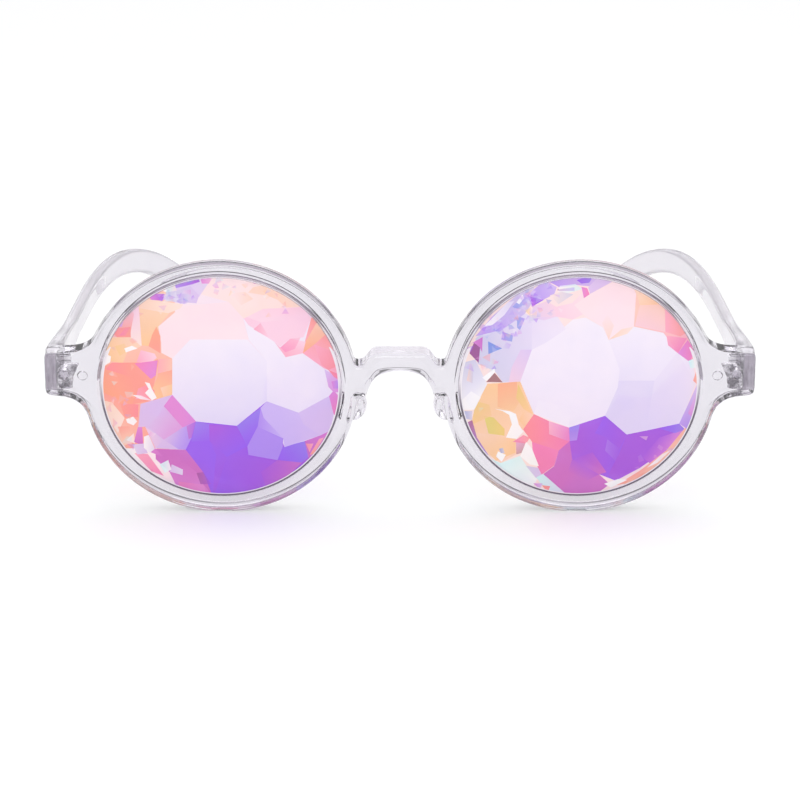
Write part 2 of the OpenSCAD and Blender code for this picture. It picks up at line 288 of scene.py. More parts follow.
def front_shell(x, w, q):
    """The front without its openings and pockets."""
    ax = -np.abs(x)
    rim = np.hypot(ax + LENS_X, q) - RIM_V
    ends = ends_plate(ax, q)
    bf = arch_plate(x, q)
    bb = nose_plate(x, q)
    bm = mid_plate(x, q)
    t = np.clip((w - 1.3) / 0.75, 0, 1)
    u = np.clip((w - 2.05) / 2.2, 0, 1)
    bridge = bf * (1 - t) + (bm * (1 - u) + bb * u) * t
    d2 = smin(smin(rim, ends, 0.7), bridge, 0.5)
    edge = np.where(w < DEPTH / 2, ROUND_V, ROUND_B)
    r = edge + (0.8 - edge) * ramp01(-ax, 62, 69) + (1.15 - edge) * ramp01(ax, -14, -8.5)
    dw = np.abs(w - DEPTH / 2) - DEPTH / 2
    a, b = d2 + r, dw + r
    return np.minimum(np.maximum(a, b), 0) + np.hypot(np.maximum(a, 0), np.maximum(b, 0)) - r


def box_sdf(dx, dy, dz):
    return np.minimum(np.maximum(dx, np.maximum(dy, dz)), 0) + np.sqrt(np.maximum(dx, 0) ** 2 + np.maximum(dy, 0) ** 2 + np.maximum(dz, 0) ** 2)


def ellipsoid(x, w, q, c, r, a, b):
    """Distance to an egg with centre c and half-lengths r, leaning outwards by a going down, its face turned back by b."""
    X, W, Z = x - c[0], w - c[1], q - c[2]
    ca, sa, cb, sb = math.cos(math.radians(a)), math.sin(math.radians(a)), math.cos(math.radians(b)), math.sin(math.radians(b))
    u, v = X * ca - Z * sa, X * sa + Z * ca
    u, W = u * cb + W * sb, -u * sb + W * cb
    k = np.sqrt((u / r[0]) ** 2 + (v / r[2]) ** 2 + (W / r[1]) ** 2) + 1e-6
    k2 = np.sqrt((u / r[0] ** 2) ** 2 + (v / r[2] ** 2) ** 2 + (W / r[1] ** 2) ** 2) + 1e-6
    return k * (k - 1) / k2


def pad_sdf(x, w, q):
    """A smooth pebble under the bridge's foot that leans out and back, kept clear of the lens."""
    d = ellipsoid(x, w, q, (-9.35, 5.2, -5.6), (2.0, 3.3, 3.2), 16, 20)
    d = smin(d, ellipsoid(x, w, q, (-8.75, 3.7, -4.7), (1.55, 2.0, 2.2), 12, 10), 1.2)
    return smax(d, 26.3 + 0.6 * np.maximum(0, w - 3.9) - np.hypot(x + LENS_X, q), 0.6)


def front_sdf(x, w, q):
    ax = -np.abs(x)
    rr = np.hypot(ax + LENS_X, q)
    d = smin(front_shell(x, w, q), pad_sdf(ax, w, q), 0.7)
    opening = rr - 24.88 - np.maximum(0, 0.76 * (0.9 - w))
    d = smax(d, -opening, 0.15)
    groove = np.maximum(rr - 25.62, np.abs(w - 3.25) - 1.0)
    d = smax(d, -groove, 0.08)
    seat = np.maximum(seat_plate(ax, q) - 0.03, 4.1 - w)
    d = smax(d, -seat, 0.1)
    stud = np.maximum(np.hypot(ax + 69.25, q - 3.05) - 1.12, 1.6 - w)
    d = smax(d, -stud, 0.1)
    dimple = np.maximum(np.hypot(ax + 65.5, q - 2) - 1.0, 4.5 - w)
    d = smax(d, -dimple, 0.1)
    z = w * ST + q * CT + LENS_Z
    return np.maximum(d, -z)


def surface_nets(fn, low, high, h):
    """A smooth quad mesh of fn = 0: one point per crossed cell, then drawn onto the surface."""
    axes = [np.arange(a, b + h, h) for a, b in zip(low, high)]
    nx, ny, nz = (len(a) for a in axes)
    F = np.empty((nx, ny, nz))
    for i0 in range(0, nx, 40):
        g = np.meshgrid(axes[0][i0:i0 + 40], axes[1], axes[2], indexing="ij")
        F[i0:i0 + 40] = fn(*g)
    S = F < 0
    c = np.zeros((nx - 1, ny - 1, nz - 1), np.int8)
    for i in (0, 1):
        for j in (0, 1):
            for k in (0, 1):
                c += S[i:nx - 1 + i, j:ny - 1 + j, k:nz - 1 + k]
    act = (c > 0) & (c < 8)
    ids = np.full(act.shape, -1, np.int64)
    cells = np.argwhere(act)
    ids[act] = np.arange(len(cells))
    acc = np.zeros((len(cells), 3))
    cnt = np.zeros(len(cells))
    corners = [(i, j, k) for i in (0, 1) for j in (0, 1) for k in (0, 1)]
    for a in corners:
        for ax in range(3):
            if a[ax]:
                continue
            b = list(a)
            b[ax] = 1
            fa = F[cells[:, 0] + a[0], cells[:, 1] + a[1], cells[:, 2] + a[2]]
            fb = F[cells[:, 0] + b[0], cells[:, 1] + b[1], cells[:, 2] + b[2]]
            cross = (fa < 0) != (fb < 0)
            t = np.where(cross, fa / np.where(cross, fa - fb, 1), 0)
            p = np.array(a, float)[None, :] + np.zeros((len(cells), 1))
            p[:, ax] += t
            acc += p * cross[:, None]
            cnt += cross
    V = (cells + acc / cnt[:, None]) * h + np.array([a[0] for a in axes])
    quads = []
    for ax in range(3):
        A = np.moveaxis(S, ax, 0)
        I = np.moveaxis(ids, ax, 0)
        ch = A[:-1] != A[1:]
        ch[:, 0, :] = ch[:, -1, :] = ch[:, :, 0] = ch[:, :, -1] = False
        e = np.argwhere(ch)
        out = A[e[:, 0], e[:, 1], e[:, 2]]
        i, j, k = e.T
        f = np.stack([I[i, j - 1, k - 1], I[i, j, k - 1], I[i, j, k], I[i, j - 1, k]], 1)
        flip = out if ax != 1 else ~out
        f[~flip] = f[~flip][:, ::-1]
        quads.append(f)
    Q = np.concatenate(quads)
    Q = Q[(Q >= 0).all(1)]
    e = 0.01
    for _ in range(3):
        x, y, z = V.T
        f = fn(x, y, z)
        g = np.stack([fn(x + e, y, z) - f, fn(x, y + e, z) - f, fn(x, y, z + e) - f], 1) / e
        n2 = np.maximum((g * g).sum(1), 0.05)
        step = -f / n2
        step = np.clip(step, -0.3 * h, 0.3 * h)
        V = V + g * step[:, None]
    return V, Q


# ------------------------------------------------------------------ the clear front
def steps(marks):
    """Grid lines from (value, spacing after it) pairs."""
    out = []
    for (a, h), (b, _) in zip(marks, marks[1:]):
        n = max(1, round((b - a) / h))
        out += [a + (b - a) * i / n for i in range(n)]
    return np.array(out + [marks[-1][0]])


def rim_grid_mesh(fn):
    """One half's surface on a grid of rings and spokes round its lens, so that every edge round the lens comes out as a
    true ring, then its mirror image, and the seam between them down the middle of the bridge."""
    q_ = 1.0
    inner = steps([(24.5, 0.25), (24.78, 0.18), (24.96, 0.2), (25.36, 0.12), (25.48, 0.07), (25.55, 0.14), (25.69, 0.15), (25.84, 0.4 * q_), (27.1, 0.16 * q_),
                   (27.9, 0.06), (27.96, 0.16), (28.12, 0.36), (29.2, 0.3)])
    n_out = round(27 / q_)
    th = np.radians(steps([(-17, 0.42 * q_), (18, 1.0 * q_), (161, 0.45 * q_), (196, 1.0 * q_), (343, 1)])[:-1])
    far = np.where(np.abs(th) < math.radians(26), LENS_X / np.cos(th), 38.2)
    wrapped = np.abs((th + math.pi) % (2 * math.pi) - math.pi)
    far = np.where(wrapped < math.radians(26), LENS_X / np.cos(wrapped), 38.2)
    blend = (wrapped >= math.radians(26)) & (wrapped < math.radians(50))
    far = np.where(blend, LENS_X / math.cos(math.radians(26)) + (38.2 - LENS_X / math.cos(math.radians(26))) * (wrapped - math.radians(26)) / math.radians(24), far)
    lev = steps([(-0.33, 0.22), (1.43, 0.3), (2.03, 0.13), (2.16, 0.18), (2.34, 0.13), (2.47, 0.34), (3.83, 0.2), (4.03, 0.13), (4.16, 0.18), (4.34, 0.18), (4.52, 0.22), (5.4, 0.4), (9.4, 1)])
    Rg = np.concatenate([np.repeat(inner[:, None], len(th), 1)] + [29.2 + (far - 29.2)[None, :] * i / n_out for i in range(1, n_out + 1)])
    ni, nj, nk = Rg.shape[0], len(th), len(lev)
    X = -LENS_X + Rg * np.cos(th)[None, :]
    Z = Rg * np.sin(th)[None, :]
    X[-1, wrapped < math.radians(26)] = 0.0
    F = np.empty((ni, nj, nk))
    for k in range(nk):
        F[:, :, k] = fn(X, np.full_like(X, lev[k]), Z)
    P3 = np.stack([np.repeat(X[:, :, None], nk, 2), np.broadcast_to(lev, (ni, nj, nk)), np.repeat(Z[:, :, None], nk, 2)], -1)
    S = F < 0
    roll = lambda A: np.roll(A, -1, 1)
    Fj, Sj, Pj = roll(F), roll(S), np.roll(P3, -1, 1)
    count = sum(A[i:ni - 1 + i, :, k:nk - 1 + k].astype(np.int8) for A in (S, Sj) for i in (0, 1) for k in (0, 1))
    act = (count > 0) & (count < 8)
    cells = np.argwhere(act)
    ids = np.full(act.shape, -1, np.int64)
    ids[act] = np.arange(len(cells))
    ci, cj, ck = cells.T

    def corner(a, b, c):
        A, Q3 = (Fj, Pj) if b else (F, P3)
        return A[ci + a, cj, ck + c], Q3[ci + a, cj, ck + c]

    acc, cnt = np.zeros((len(cells), 3)), np.zeros(len(cells))
    low, high = np.full((len(cells), 3), 1e9), np.full((len(cells), 3), -1e9)
    got = {(a, b, c): corner(a, b, c) for a in (0, 1) for b in (0, 1) for c in (0, 1)}
    for key, (f0, p0) in got.items():
        low, high = np.minimum(low, p0), np.maximum(high, p0)
        for ax in range(3):
            if key[ax]:
                continue
            other = tuple(1 if t == ax else v for t, v in enumerate(key))
            f1, p1 = got[other]
            cross = (f0 < 0) != (f1 < 0)
            t = np.where(cross, f0 / np.where(cross, f0 - f1, 1), 0)
            acc += (p0 + (p1 - p0) * t[:, None]) * cross[:, None]
            cnt += cross
    V = acc / cnt[:, None]
    e = 0.01
    grad = None
    for turn in range(4):
        x, w, q = V.T
        f = fn(x, w, q)
        grad = np.stack([fn(x + e, w, q) - fn(x - e, w, q), fn(x, w + e, q) - fn(x, w - e, q), fn(x, w, q + e) - fn(x, w, q - e)], 1) / (2 * e)
        if turn == 3:
            break
        step = np.clip(-f / np.maximum((grad * grad).sum(1), 0.1), -0.12, 0.12)
        V = V + grad * step[:, None]
    quads = []
    # spokes
    ch = np.argwhere(S[:-1] != S[1:])
    i, j, k = ch.T
    ok = (k > 0) & (k < nk - 1)
    i, j, k = i[ok], j[ok], k[ok]
    jm = (j - 1) % nj
    quads.append(np.stack([ids[i, jm, k - 1], ids[i, j, k - 1], ids[i, j, k], ids[i, jm, k]], 1))
    # rings
    ch = np.argwhere(S != Sj)
    i, j, k = ch.T
    ok = (k > 0) & (k < nk - 1) & (i > 0) & (i < ni - 1)
    a, b, c = i[ok], j[ok], k[ok]
    quads.append(np.stack([ids[a - 1, b, c - 1], ids[a, b, c - 1], ids[a, b, c], ids[a - 1, b, c]], 1))
    seam = []
    ok = (i == ni - 1) & (k > 0) & (k < nk - 1)
    b, c = j[ok], k[ok]
    seam.append(np.stack([ids[ni - 2, b, c - 1], ids[ni - 2, b, c]], 1))
    # depth
    ch = np.argwhere(S[:, :, :-1] != S[:, :, 1:])
    i, j, k = ch.T
    jm = (j - 1) % nj
    ok = (i > 0) & (i < ni - 1)
    a, b, bm_, c = i[ok], j[ok], jm[ok], k[ok]
    quads.append(np.stack([ids[a - 1, bm_, c], ids[a, bm_, c], ids[a, b, c], ids[a - 1, b, c]], 1))
    ok = i == ni - 1
    b, bm_, c = j[ok], jm[ok], k[ok]
    seam.append(np.stack([ids[ni - 2, bm_, c], ids[ni - 2, b, c]], 1))
    Q = np.concatenate(quads)
    Q = Q[(Q >= 0).all(1)]
    sm = np.concatenate(seam)
    sm = sm[(sm >= 0).all(1)]
    n = len(V)
    Q = np.concatenate([Q, Q + n, np.stack([sm[:, 0], sm[:, 1], sm[:, 1] + n, sm[:, 0] + n], 1)])
    flip = np.array([-1.0, 1, 1])
    V = np.concatenate([V, V * flip])
    G = np.concatenate([grad, grad * flip])
    G /= np.maximum(np.linalg.norm(G, axis=1), 1e-9)[:, None]
    # every face looks outwards, as the field's slope does
    d1, d2 = V[Q[:, 2]] - V[Q[:, 0]], V[Q[:, 3]] - V[Q[:, 1]]
    wrong = (np.cross(d1, d2) * G[Q].sum(1)).sum(1) < 0
    Q[wrong] = Q[wrong][:, ::-1]
    return V, Q, G


V, Q, G = rim_grid_mesh(front_sdf)
P = lean(V[:, 0], V[:, 1], V[:, 2])
P = np.clip(P, np.array(cad_low) / MM + 0.002, np.array(cad_high) / MM - 0.002)
P[:, 2] = np.where(P[:, 2] < 0.004, 0.0, P[:, 2])
front = mesh_object("front_moulding", P, Q)
turned = np.stack([G[:, 0], G[:, 1] * CT - G[:, 2] * ST, G[:, 1] * ST + G[:, 2] * CT], 1)
front.data.normals_split_custom_set_from_vertices([tuple(g) for g in turned])
front.data.materials.append(plastic)
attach(front, "front")
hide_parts("front_frame", "nose_pad_left", "nose_pad_right")  # the pads are bonded on, and read as one clear body
print("front faces", len(front.data.polygons))


# ------------------------------------------------------------------ arms
ARM_LEN = 149.2
TIP = ARM_LEN - 3.3  # where the arm's end starts to round off


def ease(t):
    u = min(max(t, 0.0), 1.0)
    return u * u * (3 - 2 * u)


def arm_dirs(s):
    th = math.radians(44.6 * ease((s - 70.5) / 70.6))
    ps = math.radians(3.7 + 32 * ease((s - 45.7) / 96))
    d = np.array([math.cos(th) * math.sin(ps), math.cos(th) * math.cos(ps), -math.sin(th)])
    a = np.array([math.cos(ps), -math.sin(ps), 0.0])
    return d, a, np.cross(a, d)


def arm_section(t, h, r, n=7):
    pts = []
    for cx, cy, a0 in ((t - r, -r, 90), (t - r, r - h, 0), (r, r - h, -90), (r, -r, 180)):
        for i in range(n):
            a = math.radians(a0 - 90 * i / (n - 1))
            pts.append((cx + r * math.cos(a), cy + r * math.sin(a)))
    # a few points along the flats keep their faces even
    out = []
    m = len(pts)
    for i in range(m):
        p, q = np.array(pts[i]), np.array(pts[(i + 1) % m])
        out.append(p)
        if i % n == n - 1:
            k = 2 if (i // n) % 2 else 5
            out += [p + (q - p) * j / k for j in range(1, k)]
    return np.array(out)


def arm_mesh():
    N = 596
    step = ARM_LEN / N
    p = np.array([-73.25, 3.0, 33.9])
    course = [p]
    for i in range(N):
        p = p + step * arm_dirs((i + 0.5) * step)[0]
        course.append(p)
    rings = []
    stations = [0.0] + [0.25, 0.6, 1.2, 1.8, 2.5] + list(np.arange(3.25, TIP - 0.5, 1.0)) + [TIP + 2.8 * math.sin(math.radians(a)) for a in (0, 12, 24, 36, 48, 59, 69, 78, 85)]
    first_y = 5.05
    for n_st, s in enumerate(stations):
        i = min(int(s / step), N - 1)
        f = s / step - i
        base = course[i] * (1 - f) + course[i + 1] * f
        d, a, u = arm_dirs(s)
        t = 2.5 + 0.72 * (1 - ease(s / 30))
        # a step on the inner face leaves room for the hinge barrel
        t = t - (t - 2.42) * (1 - ease((s - 5.2) / 0.7))
        h = 5.5 + 4.0 * (1 - ease((s - 3) / 32))
        up = 1.75 * (1 - ease((s - 3) / 28))
        k = 1.0
        if s > TIP:
            k = math.sqrt(max(1 - ((s - TIP) / 2.92) ** 2, 0.01))
        sec = arm_section(t, h, min(0.95, t / 2 - 0.02))
        pts = np.array([base + a * (t / 2 + (q[0] - t / 2) * k) + u * (up - h / 2 + (q[1] + h / 2) * k) for q in sec])
        rings.append(pts)
    # the first rings lie against the front's leaning back face
    R = np.array(rings)
    y_face = (first_y - (R[0, :, 2] - LENS_Z) * ST) / CT
    for j, s in enumerate(stations[:26]):
        lead = 1 - ease(s / 9.0)
        target = y_face + s * 0.998
        R[j, :, 1] = R[j, :, 1] * (1 - lead) + target * lead if s < 9 else R[j, :, 1]
    # ease the end's edge
    for j, (inset, back) in enumerate(((0.30, 0.0), (0.10, 0.10), (0.0, 0.30))):
        c = R[j].mean(0)
        v = R[j] - c
        ln = np.linalg.norm(v[:, [0, 2]], axis=1)[:, None]
        R[j, :, [0, 2]] = (R[j][:, [0, 2]] - v[:, [0, 2]] / ln * inset).T
        R[j, :, 1] = y_face + back
    R[:, :, 2] = np.maximum(R[:, :, 2], 0.0)
    n = R.shape[1]
    verts = R.reshape(-1, 3)
    faces = []
    for i in range(len(R) - 1):
        for j in range(n):
            k = (j + 1) % n
            faces.append((i * n + j, (i + 1) * n + j, (i + 1) * n + k, i * n + k))
    faces.append(tuple(range(n)))
    faces.append(tuple(range((len(R) - 1) * n + n - 1, (len(R) - 1) * n - 1, -1)))
    return verts, faces


def sawn_plastic():
    """The sawn end of an arm: clear plastic with a matt, whitish skin."""
    m, nt, b, out = new_material("sawn_plastic")
    tc = nt.nodes.new("ShaderNodeTexCoord")
    stretch = nt.nodes.new("ShaderNodeMapping")
    stretch.inputs["Scale"].default_value = (1.0, 1.0, 0.12)
    n = nt.nodes.new("ShaderNodeTexNoise")
    n.inputs["Scale"].default_value = 1500.0
    n.inputs["Detail"].default_value = 4.0
    nt.links.new(tc.outputs["Object"], stretch.inputs["Vector"])
    nt.links.new(stretch.outputs["Vector"], n.inputs["Vector"])
    col = ramp(nt, n.outputs["Fac"], [(0.36, (0.36, 0.33, 0.37)), (0.62, (0.62, 0.59, 0.63))])
    nt.links.new(col.outputs["Color"], b.inputs["Base Color"])
    b.inputs["Roughness"].default_value = 0.5
    return m


sawn = sawn_plastic()
arm_v, arm_f = arm_mesh()
for side, sgn in (("left", 1), ("right", -1)):
    v = np.clip(arm_v * np.array([sgn, 1, 1]) - np.array([0, MID_Y, 0]), np.array(cad_low) / MM + [0.002, 0.002, 0], np.array(cad_high) / MM - 0.002)
    arm = mesh_object(f"arm_{side}_clear", v, arm_f if sgn > 0 else [tuple(reversed(f)) for f in arm_f])
    bm = bmesh.new()
    bm.from_mesh(arm.data)
    bmesh.ops.recalc_face_normals(bm, faces=bm.faces)
    bm.to_mesh(arm.data)
    bm.free()
    arm.data.materials.append(arm_plastic)
    arm.data.materials.append(sawn)
    cap = max(range(len(arm.data.polygons)), key=lambda i: (arm.data.polygons[i].vertices.__len__() > 4, -arm.data.polygons[i].center.y))
    arm.data.polygons[cap].material_index = 1
    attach(arm, f"arm_{side}")
    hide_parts(f"temple_{side}")

# ------------------------------------------------------------------ hinges keep their CAD shapes
for side in ("left", "right"):
    for node, mat in ((f"front_hinge_{side}", hinge_metal), (f"temple_hinge_{side}", hinge_metal), (f"hinge_screw_{side}", screw_metal)):
        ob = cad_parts[node]
        for s in ob.material_slots:
            s.material = mat

# ------------------------------------------------------------------ lenses
PALETTE = {
    "white": (1.00, 0.99, 1.00), "snow": (0.97, 0.94, 0.99), "mist": (0.95, 0.91, 0.98), "haze": (0.90, 0.86, 0.97),
    "rose_white": (1.00, 0.90, 0.93), "blush": (0.99, 0.82, 0.90), "lilac": (0.86, 0.76, 0.95), "lavender": (0.82, 0.73, 0.97),
    "grey_lilac": (0.82, 0.81, 0.92), "peach_white": (1.00, 0.90, 0.87), "peach": (1.00, 0.83, 0.74), "apricot": (1.00, 0.79, 0.58),
    "orange": (1.00, 0.65, 0.50), "coral": (1.00, 0.61, 0.56), "salmon": (1.00, 0.55, 0.60), "pink": (1.00, 0.66, 0.76),
    "hot_pink": (0.97, 0.48, 0.72), "orchid": (0.89, 0.52, 0.86), "magenta": (0.81, 0.40, 0.78), "plum": (0.60, 0.27, 0.57),
    "purple": (0.66, 0.31, 0.88), "violet": (0.60, 0.33, 0.95), "blue_violet": (0.60, 0.48, 0.94), "soft_violet": (0.70, 0.55, 0.95),
    "blue": (0.48, 0.58, 0.90), "cyan": (0.80, 0.97, 0.98), "yellow": (0.95, 0.80, 0.45), "lime": (0.90, 0.83, 0.44), "brown": (0.64, 0.42, 0.45),
}

